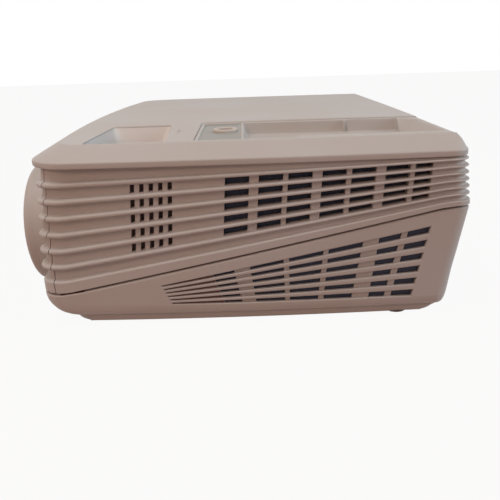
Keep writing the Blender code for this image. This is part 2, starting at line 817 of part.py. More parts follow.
def build_lower_case():
    """The lower tub, from its tongue behind the seam down to the base and up inside."""
    ledge_front = SEAM_FRONT_Z - SEAM_GROOVE / 2
    ledge_rear = SEAM_REAR_Z - SEAM_GROOVE / 2
    tongue_front = SEAM_FRONT_Z + SEAM_GROOVE / 2 - PART_GAP
    tongue_rear = SEAM_REAR_Z + SEAM_GROOVE / 2 - PART_GAP
    strip_foot = STRIP_STEP + STRIP_TAPER
    rows = [
        level_row(LOWER_EDGE_INSETS, BASE_Z, extra=strip_foot + RIM_WIDTH),
        level_row(LOWER_EDGE_INSETS, RIM_Z, extra=strip_foot + RIM_WIDTH),
        level_row(LOWER_EDGE_INSETS, RIM_Z, extra=strip_foot),
        level_row(LOWER_EDGE_INSETS, LOWER_EDGE_Z, extra=STRIP_STEP),
        level_row(LOWER_EDGE_INSETS, LOWER_EDGE_Z),
        level_row(LOWER_TURN_INSETS, LOWER_TURN_Z),
        level_row(LOWER_LOW_INSETS, LOWER_LOW_Z),
        level_row(LOWER_MID_INSETS, LOWER_MID_FRONT_Z, LOWER_MID_REAR_Z),
        case_row(TIP_INSET, ledge_front, ledge_rear),
        case_row(TONGUE_INSET, ledge_front, ledge_rear),
        case_row(TONGUE_INSET, tongue_front, tongue_rear),
        case_row(INNER_INSET, tongue_front, tongue_rear),
        level_row(LOWER_MID_INSETS, LOWER_MID_FRONT_Z, LOWER_MID_REAR_Z, extra=WALL),
        level_row(LOWER_LOW_INSETS, LOWER_LOW_Z, extra=WALL),
        level_row(LOWER_EDGE_INSETS, FLOOR_Z, extra=WALL),
    ]
    return add("lower_case", mesh_from(loft(rows), "lower_case"), CREAM)


def open_lower_case(tub):
    """The lens bore and the fan-shaped grille of the lower case."""
    boolean(tub, lens_bore("lower_lens_bore"))
    boolean(tub, fan_groove_cutter("fan_grooves"))
    boolean(tub, fan_slot_cutter("fan_slots"))


def lens_bore(name):
    """The cutter for the round opening of the lens surround."""
    return rod(name, SURROUND_RADIUS + PART_GAP, (LENS_X, SURROUND_FRONT_Y - CUT_OVERRUN, LENS_Z),
               (LENS_X, SURROUND_BACK_Y + CUT_OVERRUN, LENS_Z))


def build_top_cover():
    """The lid: a lip, a broad chamfer band and a slightly crowned top, with the recess."""
    band = (BAND_FRONT, BAND_SIDE, BAND_REAR)
    under = tuple(inset + LID_WALL / 2 for inset in band)
    outline = level_row(band, TOP_Z)
    centre = sum(outline, Vector()) / len(outline)
    crown = [centre.lerp(point, CROWN_SHARE) + Vector((0, 0, LID_CROWN)) for point in outline]
    inner = (INNER_INSET, INNER_INSET, INNER_INSET)
    rows = [
        level_row(under, TOP_Z - LID_WALL),
        level_row(inner, LIP_TOP_Z - LID_WALL / 2),
        level_row(inner, LIP_Z),
        level_row((LIP_ROUND, LIP_ROUND, LIP_ROUND), LIP_Z),
        level_row((0, 0, 0), LIP_Z + LIP_ROUND),
        level_row((0, 0, 0), LIP_TOP_Z - LIP_ROUND),
        level_row((LIP_ROUND, LIP_ROUND, LIP_ROUND), LIP_TOP_Z),
        outline,
        crown,
    ]
    lid = add("top_cover", mesh_from(loft(rows), "top_cover"), CREAM)
    boolean(lid, recess_solid("recess_walls", RECESS_WALL, TOP_Z - LID_WALL / 2), "UNION")
    boolean(lid, recess_solid("recess_hole", 0.0, TOP_Z + CUT_OVERRUN))
    boolean(lid, block("strip_hole", (STRIP_FAR_X, STRIP_FRONT_Y, LIP_Z - CUT_OVERRUN),
                       (STRIP_NEAR_X, REAR_LEFT_Y + CUT_OVERRUN, TOP_Z + CUT_OVERRUN)))
    for number in range(LIGHT_COUNT):
        x = LIGHT_X - LIGHT_PITCH * number
        boolean(lid, rod(f"light_hole_{number + 1}", LIGHT_RADIUS + PART_GAP,
                         (x, LIGHT_Y, TOP_Z - LID_WALL - CUT_OVERRUN),
                         (x, LIGHT_Y, TOP_Z + CUT_OVERRUN), steps=8))


def recess_solid(name, grow, top_z):
    """The tapered well of the focus recess, grown for its outer walls."""
    def ring(z, taper, slope):
        near = RECESS_NEAR_X + grow - taper
        far = RECESS_FAR_X - grow + taper
        shift = RECESS_FAR_SHIFT
        front = RECESS_FRONT_Y - grow + slope
        rear = RECESS_REAR_Y + grow - taper
        return [Vector((near, front, z)), Vector((near, rear, z)),
                Vector((far, rear - shift, z)), Vector((far, front + shift, z))]
    depth = TOP_Z - RECESS_BOTTOM_Z
    over = (top_z - TOP_Z) / depth
    below = grow > 0
    bottom_z = RECESS_BOTTOM_Z if below else RECESS_BOTTOM_Z - CUT_OVERRUN
    under = 1 if below else 1 + CUT_OVERRUN / depth
    rings = [ring(bottom_z, RECESS_TAPER * under, RECESS_SLOPE * under),
             ring(top_z, -RECESS_TAPER * over, -RECESS_SLOPE * over)]
    return as_cutter(add(name, mesh_from(loft(rings), name), None))


# Lens

def lens_turned(name, profile, look, front_y):
    """A turned piece on the lens axis, with heights counted back from its front."""
    flipped = [(radius, -depth) for radius, depth in profile]
    return turned(name, flipped, look, origin=(LENS_X, front_y, LENS_Z))


def build_lens_surround():
    """The round bezel of the lens, flared inwards from a soft rim."""
    length = SURROUND_BACK_Y - SURROUND_FRONT_Y
    back = SURROUND_BORE
    arc = []
    for i in range(3):
        angle = math.radians(45 * i)
        arc.append((SURROUND_RADIUS - SURROUND_ROUND * (1 - math.sin(angle)),
                    SURROUND_ROUND * (1 - math.cos(angle))))
    profile = arc + [(SURROUND_RADIUS, length), (back, length), (back, length / 2),
                     (SURROUND_FLARE - SURROUND_ROUND / 2, SURROUND_ROUND / 4)]
    lens_turned("lens_surround", profile, CREAM, SURROUND_FRONT_Y)


def build_lens():
    """Fixed tube with its flange, sliding front barrel with its glass, and the rear group."""
    tube_length = TUBE_BACK_Y - TUBE_FRONT_Y
    bore = TUBE_RADIUS - TUBE_WALL
    flange_front = tube_length - TUBE_FLANGE_THICK
    lens_turned("lens_tube", [(bore, 0), (TUBE_RADIUS, 0), (TUBE_RADIUS, flange_front),
                              (TUBE_FLANGE, flange_front), (TUBE_FLANGE, tube_length),
                              (bore, tube_length)], DARK, TUBE_FRONT_Y)
    outer = bore - RUNNING_GAP
    inner = outer - BARREL_WALL
    length = BARREL_BACK_Y - BARREL_FRONT_Y
    seat = GLASS_BEHIND_FRONT + GLASS_THICK + PART_GAP
    stop = inner - BARREL_WALL
    lens_turned("lens_barrel", [(inner, 0), (outer, 0), (outer, length), (stop, length),
                                (stop, seat), (inner, seat)], DARK, BARREL_FRONT_Y)
    rim = inner - PART_GAP
    dome = []
    for i in range(4):
        share = i / 3
        dome.append((rim * share, GLASS_DOME * share * share))
    thick = GLASS_DOME + GLASS_THICK / 2
    lens_turned("front_lens", dome + [(rim, thick), (0, thick)], GLASS,
                BARREL_FRONT_Y + GLASS_BEHIND_FRONT)
    group = VARIATOR_LENGTH
    dish = BARREL_WALL
    lens_turned("zoom_lens_group", [(0, dish), (rim - dish, dish), (rim - dish, 0), (outer, 0),
                                    (outer, group), (0, group)],
                DARK, VARIATOR_BACK_Y - group)


def knurled_ring(name, front_y):
    """A control ring with finger ribs, turning on the fixed tube."""
    bore = TUBE_RADIUS + RUNNING_GAP
    steps = RING_RIBS * 2
    rings = []
    for height, outward in ((0, 0), (0, 1), (RING_LENGTH, 1), (RING_LENGTH, 0)):
        ring = []
        for i in range(steps):
            angle = 2 * math.pi * i / steps
            radius = bore
            if outward:
                radius = RING_RADIUS + (RING_RIB if i % 2 else 0)
            ring.append(Vector((math.cos(angle) * radius, height, math.sin(angle) * radius)))
        rings.append(ring)
    bm = loft(rings, closed_round=True)
    return add(name, mesh_from(bm, name), DARK, (LENS_X, front_y, LENS_Z))


# Control strip

def valley_ring(z, share, far, near):
    """The valley's outline at a height, a share of the way up its sloped ends."""
    far_wall = far + VALLEY_FAR_WALL
    ledge = near - VALLEY_LEDGE
    bay = near - BAY_LEDGE
    front = VALLEY_FRONT_Y + VALLEY_SLOPE * (1 - share)
    rear = VALLEY_REAR_Y - VALLEY_REAR_SLOPE * (1 - share)
    turn = VALLEY_CORNER * (1 - math.cos(math.radians(45)))
    plan_points = [(far_wall, front), (bay, front), (bay, BAY_REAR_Y), (ledge, BAY_REAR_Y),
                   (ledge, rear), (far_wall + VALLEY_CORNER, rear),
                   (far_wall + turn, rear - turn), (far_wall, rear - VALLEY_CORNER)]
    return [Vector((x, y, z)) for x, y in plan_points]


def build_control_panel():
    """The tray of the control strip: a shallow plate in front and a keypad valley behind."""
    far = STRIP_FAR_X + PART_GAP
    near = STRIP_NEAR_X - PART_GAP
    front = STRIP_FRONT_Y + PART_GAP
    top = TOP_Z - PART_GAP
    floor_under = VALLEY_FLOOR_Z - STRIP_SKIN
    bm = bmesh.new()
    prism(bm, [(front, floor_under), (REAR_LEFT_Y, floor_under), (REAR_LEFT_Y, LIP_TOP_Z),
               (REAR_LEFT_Y - BAND_REAR, top), (front, top)], far, near)
    tray = add("control_panel", mesh_from(bm, "control_panel"), GREY)
    step = VALLEY_FRONT_Y - STRIP_FRAME
    boolean(tray, block("shallow", (far + STRIP_FRAME, front + STRIP_FRAME, top - STRIP_SHALLOW),
                        (near - STRIP_FRAME, step, top + CUT_OVERRUN)))
    boolean(tray, block("under_shallow",
                        (far + STRIP_FRAME, front + STRIP_FRAME, floor_under - CUT_OVERRUN),
                        (near - STRIP_FRAME, step, top - STRIP_SHALLOW - STRIP_SKIN)))
    over_share = 1 + CUT_OVERRUN / (top - VALLEY_FLOOR_Z)
    valley = loft([valley_ring(VALLEY_FLOOR_Z, 0, far, near),
                   valley_ring(top + CUT_OVERRUN, over_share, far, near)])
    boolean(tray, as_cutter(add("valley", mesh_from(valley, "valley"), None)))
    for name, x, y in key_spots():
        boolean(tray, rod(name + "_hole", KEY_RADIUS + RUNNING_GAP,
                          (x, y, floor_under - CUT_OVERRUN),
                          (x, y, VALLEY_FLOOR_Z + CUT_OVERRUN), steps=12))
    boolean(tray, rod("power_hole", POWER_RADIUS + RUNNING_GAP,
                      (POWER_X, POWER_Y, top - STRIP_SHALLOW - STRIP_SKIN - CUT_OVERRUN),
                      (POWER_X, POWER_Y, top + CUT_OVERRUN), steps=24))
    board_top = switch_board_top()
    for i, x in enumerate((far + POST_INSET, near - POST_INSET)):
        for j, y in enumerate((VALLEY_FRONT_Y + POST_INSET, BOARD_REAR_Y - POST_INSET)):
            boolean(tray, rod(f"board_post_{i}{j}", POST_RADIUS, (x, y, board_top + PART_GAP),
                              (x, y, floor_under + STRIP_SKIN / 2), steps=6), "UNION")
    block("switch_board", (far, front + STRIP_FRAME, board_top - BOARD_THICK),
          (near, BOARD_REAR_Y, board_top), GREEN)


def key_spots():
    """Names and places of the keys in the valley."""
    return [("menu_key", PAD_X, PAD_Y - SIDE_KEY_OFFSET),
            ("source_key", PAD_X, PAD_Y + SIDE_KEY_OFFSET),
            ("enter_key", PAD_X, PAD_Y),
            ("up_key", PAD_X - PAD_PITCH, PAD_Y),
            ("down_key", PAD_X + PAD_PITCH, PAD_Y),
            ("left_key", PAD_X, PAD_Y - PAD_PITCH),
            ("right_key", PAD_X, PAD_Y + PAD_PITCH)]


def switch_board_top():
    """The height of the switch board's upper face under the valley."""
    under = VALLEY_FLOOR_Z - STRIP_SKIN - PART_GAP
    return under - KEY_FLANGE - KEY_TRAVEL - PART_GAP


def push_button(name, x, y, radius, under_z, top_z, travel, look, steps):
    """A button: head, retaining flange under its plate, and a stem down to the switch."""
    flange_top = under_z - PART_GAP
    flange_low = flange_top - KEY_FLANGE
    stem_low = switch_board_top() + travel + PART_GAP
    flange = radius + KEY_FLANGE
    stem = radius * KEY_STEM_SHARE
    ease = KEY_EASE
    profile = [(0, top_z), (radius - ease, top_z), (radius, top_z - ease), (radius, flange_top),
               (flange, flange_top), (flange, flange_low)]
    if flange_low - stem_low > PART_GAP:
        profile += [(stem, flange_low), (stem, stem_low), (0, stem_low)]
    else:
        profile += [(0, flange_low)]
    profile = [(r, z - top_z) for r, z in profile]
    turned(name, profile, look, origin=(x, y, top_z), axis="Z", steps=steps)


def build_buttons():
    """The power button in the shallow plate and the keys in the valley."""
    for name, x, y in key_spots():
        push_button(name, x, y, KEY_RADIUS, VALLEY_FLOOR_Z - STRIP_SKIN,
                    VALLEY_FLOOR_Z + KEY_PROUD, KEY_TRAVEL, WHITE, 10)
    plate_top = TOP_Z - PART_GAP - STRIP_SHALLOW
    push_button("power_button", POWER_X, POWER_Y, POWER_RADIUS, plate_top - STRIP_SKIN,
                plate_top + POWER_PROUD, POWER_TRAVEL, CREAM, 24)


def build_status_lights():
    """A light pipe: three pins through the lid on one bar beneath it."""
    low = TOP_Z - LID_WALL - LIGHT_BAR
    high = TOP_Z - LID_WALL - PART_GAP
    far = LIGHT_X - LIGHT_PITCH * (LIGHT_COUNT - 1) - LIGHT_BAR / 2
    half = LIGHT_BAR / 2
    pipe = block("status_lights", (far, LIGHT_Y - half, low),
                 (LIGHT_X + half, LIGHT_Y + half, high), DARK)
    for number in range(LIGHT_COUNT):
        x = LIGHT_X - LIGHT_PITCH * number
        boolean(pipe, rod(f"light_pin_{number + 1}", LIGHT_RADIUS, (x, LIGHT_Y, low + half),
                          (x, LIGHT_Y, TOP_Z), steps=8), "UNION")


# Feet

def build_screw_foot(name, x, y, pad_radius, shaft_radius, shaft_length):
    """A screw foot: a shaft that winds down out of the case, and its turning pad."""
    pad_top = BASE_Z - PART_GAP
    seat = FOOT_SOLE
    bore = shaft_radius + RUNNING_GAP
    turned(name + "_pad", [(0, seat), (bore, seat), (bore, pad_top), (pad_radius, pad_top),
                           (pad_radius, FOOT_EASE), (pad_radius - FOOT_EASE, 0), (0, 0)],
           RUBBER, origin=(x, y, 0), axis="Z", steps=16)
    rod(name + "_shaft", shaft_radius, (x, y, seat + PART_GAP),
        (x, y, seat + PART_GAP + shaft_length), STEEL, steps=12)


def foot_boss(tub, name, x, y, shaft_radius, height):
    """A threaded boss of the lower case round a foot's shaft."""
    outer = shaft_radius + RUNNING_GAP + FOOT_BOSS_WALL
    boolean(tub, rod(name + "_boss", outer, (x, y, BASE_Z + FLOOR_THICK / 2),
                     (x, y, FLOOR_Z + height), steps=12), "UNION")
    boolean(tub, rod(name + "_bore", shaft_radius + RUNNING_GAP, (x, y, BASE_Z - CUT_OVERRUN),
                     (x, y, FLOOR_Z + height + CUT_OVERRUN), steps=12))


def build_feet(tub):
    """Front and rear screw feet, and the fixed rubber foot at the rear left."""
    build_screw_foot("front_foot", FRONT_FOOT_X, FRONT_FOOT_Y, FRONT_PAD_RADIUS,
                     FOOT_SHAFT, FRONT_SHAFT_LENGTH)
    foot_boss(tub, "front_foot", FRONT_FOOT_X, FRONT_FOOT_Y, FOOT_SHAFT, FRONT_BOSS_HEIGHT)
    build_screw_foot("rear_foot", -REAR_FOOT_X, REAR_FOOT_Y, FOOT_RADIUS,
                     REAR_SHAFT, REAR_SHAFT_LENGTH)
    foot_boss(tub, "rear_foot", -REAR_FOOT_X, REAR_FOOT_Y, REAR_SHAFT, REAR_BOSS_HEIGHT)
    top = RIM_Z - PART_GAP
    turned("fixed_rear_foot", [(0, top), (FOOT_RADIUS, top), (FOOT_RADIUS, FIXED_FOOT_EASE),
                               (FOOT_RADIUS - FIXED_FOOT_EASE, 0), (0, 0)],
           RUBBER, origin=(FIXED_FOOT_X, FIXED_FOOT_Y, 0), axis="Z", steps=16)


# Optical engine, lamp and fans

def build_engine():
    """Hollow engine housing on four posts, chip board and finned heat sink."""
    width, length, height = ENGINE_SIZE
    far = ENGINE_X - width / 2
    near = ENGINE_X + width / 2
    front = TUBE_BACK_Y + PART_GAP
    back = front + length
    low = ENGINE_FLOOR_Z
    high = low + height
    skin = ENGINE_SKIN
    engine = block("optical_engine", (far, front, low), (near, back, high), DARK)
    boolean(engine, block("engine_room", (far + skin, front + skin, low - CUT_OVERRUN),
                          (near - skin, back - skin, high - skin)))
    boolean(engine, rod("engine_mouth", ENGINE_BORE, (LENS_X, front - CUT_OVERRUN, LENS_Z),
                        (LENS_X, front + CUT_OVERRUN, LENS_Z), steps=20))
    for i, x in enumerate((far, near - ENGINE_POST)):
        for j, y in enumerate((front, back - ENGINE_POST)):
            boolean(engine, block(f"engine_post_{i}{j}", (x, y, FLOOR_Z + PART_GAP),
                                  (x + ENGINE_POST, y + ENGINE_POST, low + ENGINE_POST)), "UNION")
    board_high = far - PART_GAP
    board_low = board_high - CHIP_BOARD_THICK
    margin = CHIP_BOARD_MARGIN
    block("chip_board", (board_low, front + margin, low), (board_high, back - margin, high), GREEN)
    base = board_low - PART_GAP
    middle_y = (front + back) / 2
    middle_z = (low + high) / 2
    half = HEATSINK_PITCH * (HEATSINK_FINS - 1) / 2 + HEATSINK_FIN / 2
    sink = [Vector((base, middle_y + half, 0)), Vector((base, middle_y - half, 0))]
    foot = base - HEATSINK_BASE
    tip = base - HEATSINK_HEIGHT
    for number in range(HEATSINK_FINS):
        start = middle_y - half + HEATSINK_PITCH * number
        end = start + HEATSINK_FIN
        if number > 0:
            sink.append(Vector((foot, start, 0)))
        sink += [Vector((tip, start, 0)), Vector((tip, end, 0))]
        if number + 1 < HEATSINK_FINS:
            sink.append(Vector((foot, end, 0)))
    rings = []
    for z in (middle_z - HEATSINK_TALL / 2, middle_z + HEATSINK_TALL / 2):
        rings.append([point + Vector((0, 0, z)) for point in sink])
    add("chip_heatsink", mesh_from(loft(rings), "chip_heatsink"), STEEL)


def build_colour_wheel():
    """The motor on the engine's back wall and the colour wheel on its axle."""
    start = TUBE_BACK_Y + PART_GAP + ENGINE_SIZE[1] + PART_GAP
    end = start + WHEEL_MOTOR_LENGTH
    disc = end + RUNNING_GAP
    axle_end = disc + WHEEL_AXLE_LENGTH
    turned("wheel_motor", [(0, -start), (WHEEL_MOTOR_RADIUS, -start), (WHEEL_MOTOR_RADIUS, -end),
                           (WHEEL_AXLE, -end), (WHEEL_AXLE, -axle_end), (0, -axle_end)],
           STEEL, origin=(WHEEL_X, 0, WHEEL_Z), steps=12)
    bore = WHEEL_AXLE + RUNNING_GAP
    hub = WHEEL_MOTOR_RADIUS
    hub_end = disc + WHEEL_HUB
    turned("colour_wheel", [(bore, -disc), (WHEEL_RADIUS, -disc),
                            (WHEEL_RADIUS, -(disc + WHEEL_THICK)), (hub, -(disc + WHEEL_THICK)),
                            (hub, -hub_end), (bore, -hub_end)],
           GLASS, origin=(WHEEL_X, 0, WHEEL_Z), steps=16)


def build_lamp():
    """Lamp module: an open housing, a reflector bowl and its burner."""
    width, length, height = LAMP_SIZE
    low = FLOOR_Z + PART_GAP
    back = LAMP_FRONT_Y + length
    skin = LAMP_SKIN
    far = LAMP_X - width / 2
    near = LAMP_X + width / 2
    housing = block("lamp_housing", (far, LAMP_FRONT_Y, low), (near, back, low + height), DARK)
    boolean(housing, block("lamp_room", (far + skin, LAMP_FRONT_Y - CUT_OVERRUN, low + skin),
                           (near - skin, back - skin, low + height - skin)))
    middle_z = low + height / 2
    mouth = width / 2 - skin - PART_GAP
    front = LAMP_FRONT_Y + skin
    outer = []
    inner = []
    for i in range(4):
        share = i / 3
        depth = REFLECTOR_DEPTH * share
        radius = REFLECTOR_NECK + (mouth - REFLECTOR_NECK) * math.sqrt(1 - share)
        outer.append((radius, -front - depth))
        inner.append((radius - REFLECTOR_WALL, -front - depth))
    neck_end = -front - REFLECTOR_DEPTH - REFLECTOR_NECK_LENGTH
    profile = outer + [(REFLECTOR_NECK, neck_end), (REFLECTOR_NECK - REFLECTOR_WALL, neck_end)]
    profile += list(reversed(inner))
    turned("lamp_reflector", profile, STEEL, origin=(LAMP_X, 0, middle_z), steps=12)
    burner_back = front + REFLECTOR_DEPTH + REFLECTOR_NECK_LENGTH
    rod("lamp_burner", BURNER_RADIUS, (LAMP_X, burner_back, middle_z),
        (LAMP_X, burner_back - BURNER_LENGTH, middle_z), WHITE, steps=12)


def build_fan(name, y, side):
    """A square fan: frame with cross bars and axle, and a seven-blade rotor on it."""
    inset = LOWER_EDGE_INSETS[1] + WALL + FAN_WALL_GAP
    outer = side * min(side_x(y - FAN_SIZE / 2, inset), side_x(y + FAN_SIZE / 2, inset))
    inner = outer - side * FAN_DEPTH
    low = FLOOR_Z + PART_GAP
    z = low + FAN_SIZE / 2
    half = FAN_SIZE / 2
    first, last = min(outer, inner), max(outer, inner)
    frame = block(name + "_frame", (first, y - half, low), (last, y + half, low + FAN_SIZE), DARK)
    boolean(frame, rod(name + "_throat", FAN_BORE, (first - CUT_OVERRUN, y, z),
                       (last + CUT_OVERRUN, y, z), steps=24))
    bar_end = inner + side * FAN_BAR_THICK
    bar_first, bar_last = min(inner, bar_end), max(inner, bar_end)
    bar = FAN_BAR / 2
    reach = FAN_BORE + bar
    boolean(frame, block(name + "_bar_a", (bar_first, y - reach, z - bar),
                         (bar_last, y + reach, z + bar)), "UNION")
    boolean(frame, block(name + "_bar_b", (bar_first, y - bar, z - reach),
                         (bar_last, y + bar, z + reach)), "UNION")
    rotor_start = bar_end + side * FAN_ROTOR_GAP
    rotor_end = outer - side * FAN_ROTOR_GAP
    boolean(frame, rod(name + "_axle", FAN_AXLE, (bar_end - side * bar, y, z),
                       (rotor_end, y, z), steps=10), "UNION")
    depth = abs(rotor_end - rotor_start)
    low_x = min(rotor_start, rotor_end)
    rotor = turned(name + "_rotor", [(FAN_AXLE + RUNNING_GAP, depth), (FAN_HUB, depth),
                                     (FAN_HUB, 0), (FAN_AXLE + RUNNING_GAP, 0)],
                   DARK, origin=(low_x, y, z), axis="X", steps=14)
    bm = bmesh.new()
    length = FAN_BORE - FAN_TIP_GAP - FAN_HUB + FAN_BLADE_THICK
    for number in range(FAN_BLADES):
        made = bmesh.ops.create_cube(bm, size=1.0)
        verts = made["verts"]
        bmesh.ops.scale(bm, vec=(FAN_BLADE_THICK, FAN_BLADE_CHORD, length), verts=verts)
        twist = Matrix.Rotation(math.radians(90) - FAN_BLADE_TWIST * side, 3, "Z")
        bmesh.ops.rotate(bm, matrix=twist, verts=verts)
        bmesh.ops.translate(bm, vec=(0, 0, FAN_HUB - FAN_BLADE_THICK + length / 2), verts=verts)
        turn = Matrix.Rotation(2 * math.pi * number / FAN_BLADES, 3, "X")
        bmesh.ops.rotate(bm, cent=(0, 0, 0), matrix=turn, verts=verts)
    blades = add(name + "_blades", mesh_from(bm, name + "_blades"), None, rotor.location)
    boolean(rotor, blades, "UNION")


# Boards, loudspeaker and sockets

def build_board(tub, name, low, high, look=GREEN):
    """A circuit board on four pillars of the lower case."""
    board = block(name, (*low, BOARD_Z), (*high, BOARD_Z + BOARD_THICK), look)
    inset = PILLAR_INSET
    for i, x in enumerate((low[0] + inset, high[0] - inset)):
        for j, y in enumerate((low[1] + inset, high[1] - inset)):
            boolean(tub, rod(f"{name}_pillar_{i}{j}", PILLAR_RADIUS,
                             (x, y, BASE_Z + FLOOR_THICK / 2), (x, y, BOARD_Z - PART_GAP),
                             steps=6), "UNION")
    return board


def build_boards(tub):
    """Main board with its cooled chip, power supply and lamp ballast."""
    top = BOARD_Z + BOARD_THICK
    sunk = top - BOARD_THICK / 2
    main_high = (MAIN_BOARD_LEFT_X, PLATE_Y - MAIN_BOARD_PLATE_GAP)
    main = build_board(tub, "main_board", MAIN_BOARD_LOW, main_high)
    x = (MAIN_BOARD_LOW[0] + main_high[0]) / 2
    y = (MAIN_BOARD_LOW[1] + main_high[1]) / 2
    half = CHIP_SIZE / 2
    boolean(main, block("main_chip", (x - half, y - half, sunk),
                        (x + half, y + half, top + CHIP_HEIGHT)), "UNION")
    power = build_board(tub, "power_supply", POWER_BOARD_LOW, POWER_BOARD_HIGH)
    x = (POWER_BOARD_LOW[0] + POWER_BOARD_HIGH[0]) / 2
    y = (POWER_BOARD_LOW[1] + POWER_BOARD_HIGH[1]) / 2
    width, length, height = TRANSFORMER_SIZE
    boolean(power, block("transformer", (x - width / 2, y - length / 2, sunk),
                         (x + width / 2, y + length / 2, top + height)), "UNION")
    for sign in (-1, 1):
        spot = x + sign * (width / 2 + CAPACITOR_RADIUS * 2)
        boolean(power, rod(f"capacitor_{sign + 2}", CAPACITOR_RADIUS, (spot, y, sunk),
                           (spot, y, top + CAPACITOR_HEIGHT), steps=12), "UNION")
    ballast = build_board(tub, "lamp_ballast", BALLAST_LOW, BALLAST_HIGH)
    inset = PILLAR_INSET
    boolean(ballast, block("ballast_can", (BALLAST_LOW[0] + inset, BALLAST_LOW[1] + inset, sunk),
                           (BALLAST_HIGH[0] - inset, BALLAST_HIGH[1] - inset,
                            top + BALLAST_HEIGHT)), "UNION")


def build_speaker():
    """A flat loudspeaker behind its grille: basket with a sunk cone and a magnet."""
    depth, width, height = SPEAKER_SIZE
    y = SPEAKER_MIDDLE_Y
    z = SPEAKER_Z
    face = side_x(y, INNER_INSET) - SPEAKER_WALL_GAP
    back = face - depth
    basket = block("loudspeaker", (back, y - width / 2, z - height / 2),
                   (face, y + width / 2, z + height / 2), DARK, bevel=SPEAKER_EASE)
    boolean(basket, rod("cone_hollow", SPEAKER_CAP, (face - SPEAKER_CONE_DEPTH, y, z),
                        (face + PART_GAP, y, z), steps=16, tip=SPEAKER_CONE))
    boolean(basket, rod("magnet", SPEAKER_MAGNET, (back - SPEAKER_MAGNET_DEPTH, y, z),
                        (back + SPEAKER_MAGNET_DEPTH, y, z), steps=16), "UNION")


def socket_frame(plate, name, x, z, size, pocket, look, slant=0.0):
    """A rectangular or D-shaped socket through the plate, with its open mouth."""
    half_x, half_z = size[0] / 2, size[1] / 2
    front = PLATE_Y - SOCKET_DEPTH
    mouth = PLATE_Y + PLATE_THICK + SOCKET_PROUD
    piece = block(name, (x - half_x, front, z - half_z), (x + half_x, mouth, z + half_z), look)
    boolean(plate, block(name + "_hole", (x - half_x - PART_GAP, PLATE_Y - CUT_OVERRUN,
                                          z - half_z - PART_GAP),
                         (x + half_x + PART_GAP, PLATE_Y + CUT_OVERRUN,
                          z + half_z + PART_GAP)))
    half_x, half_z = pocket[0] / 2, pocket[1] / 2
    floor_y = mouth - SOCKET_NECK_DEPTH
    rings = []
    for y in (floor_y, mouth + CUT_OVERRUN):
        rings.append([Vector((x - half_x, y, z + half_z)), Vector((x + half_x, y, z + half_z)),
                      Vector((x + half_x - slant, y, z - half_z)),
                      Vector((x - half_x + slant, y, z - half_z))])
    boolean(piece, as_cutter(add(name + "_pocket", mesh_from(loft(rings), name), None)))
    return piece


def round_socket(plate, name, x, z, radius, bore, look):
    """A round socket through the plate."""
    front = -(PLATE_Y - SOCKET_DEPTH)
    mouth = -(PLATE_Y + PLATE_THICK + SOCKET_PROUD)
    turned(name, [(0, front), (radius, front), (radius, mouth), (bore, mouth),
                  (bore, mouth + SOCKET_NECK_DEPTH), (0, mouth + SOCKET_NECK_DEPTH)],
           look, origin=(x, 0, z), steps=12)
    boolean(plate, rod(name + "_hole", radius + PART_GAP, (x, PLATE_Y - CUT_OVERRUN, z),
                       (x, PLATE_Y + CUT_OVERRUN, z), steps=12))


def build_sockets(tub):
    """Window in the lower case, socket plate behind it, and the sockets."""
    boolean(tub, block("socket_window", (WINDOW_RIGHT_X, PLATE_Y + PLATE_THICK, WINDOW_BOTTOM_Z),
                       (WINDOW_LEFT_X, REAR_LEFT_Y + CUT_OVERRUN * 2, WINDOW_TOP_Z)))
    plate = block("socket_plate", (WINDOW_RIGHT_X - PLATE_MARGIN, PLATE_Y, FLOOR_Z + PART_GAP),
                  (WINDOW_LEFT_X + PLATE_MARGIN, PLATE_Y + PLATE_THICK,
                   WINDOW_TOP_Z + PLATE_MARGIN), STEEL)
    socket_frame(plate, "power_inlet", INLET_X, INLET_Z, INLET_SIZE, INLET_POCKET, DARK)
    names = ("computer_in", "monitor_out", "serial_port")
    looks = (BLUE, BLUE, DARK)
    for name, look, x in zip(names, looks, DSUB_X):
        socket_frame(plate, name, x, SOCKET_Z, DSUB_SIZE, DSUB_POCKET, look, DSUB_SLANT)
    socket_frame(plate, "usb_port", USB_X, UPPER_SOCKET_Z, USB_SIZE, USB_POCKET, STEEL)
    names = ("s_video_socket", "video_socket", "audio_socket")
    looks = (DARK, YELLOW, GREEN)
    rows = zip(names, looks, ROUND_SOCKET_X, ROUND_SOCKET_RADII, ROUND_SOCKET_BORES)
    for name, look, x, radius, bore in rows:
        round_socket(plate, name, x, UPPER_SOCKET_Z, radius, bore, look)


# Window, cover and screws

def front_y(x, inset, z):
    """The outer face of the front at x and height z, for an inset from the lip."""
    share = (CORNER_X - x) / (2 * CORNER_X)
    chord = FRONT_LEFT_Y + (FRONT_RIGHT_Y - FRONT_LEFT_Y) * share
    return chord - 4 * FRONT_BOW * share * (1 - share) + inset + (z - LIP_Z) * FRONT_LEAN_SHARE


def build_ir_window():
    """The dark window of the remote control's receiver, between two front ribs."""
    half_x, half_z = IR_SIZE[0] / 2, IR_SIZE[1] / 2
    face = front_y(IR_X, WALL_INSET, IR_Z) + PART_GAP
    back = face + IR_DEPTH
    gap = PART_GAP
    boolean(bpy.data.objects["front_bezel"],
            block("ir_hole", (IR_X - half_x - gap, face - RIB_PROUD, IR_Z - half_z - gap),
                  (IR_X + half_x + gap, back + CUT_OVERRUN, IR_Z + half_z + gap)))
    block("ir_window", (IR_X - half_x, face, IR_Z - half_z),
          (IR_X + half_x, back, IR_Z + half_z), DARK)


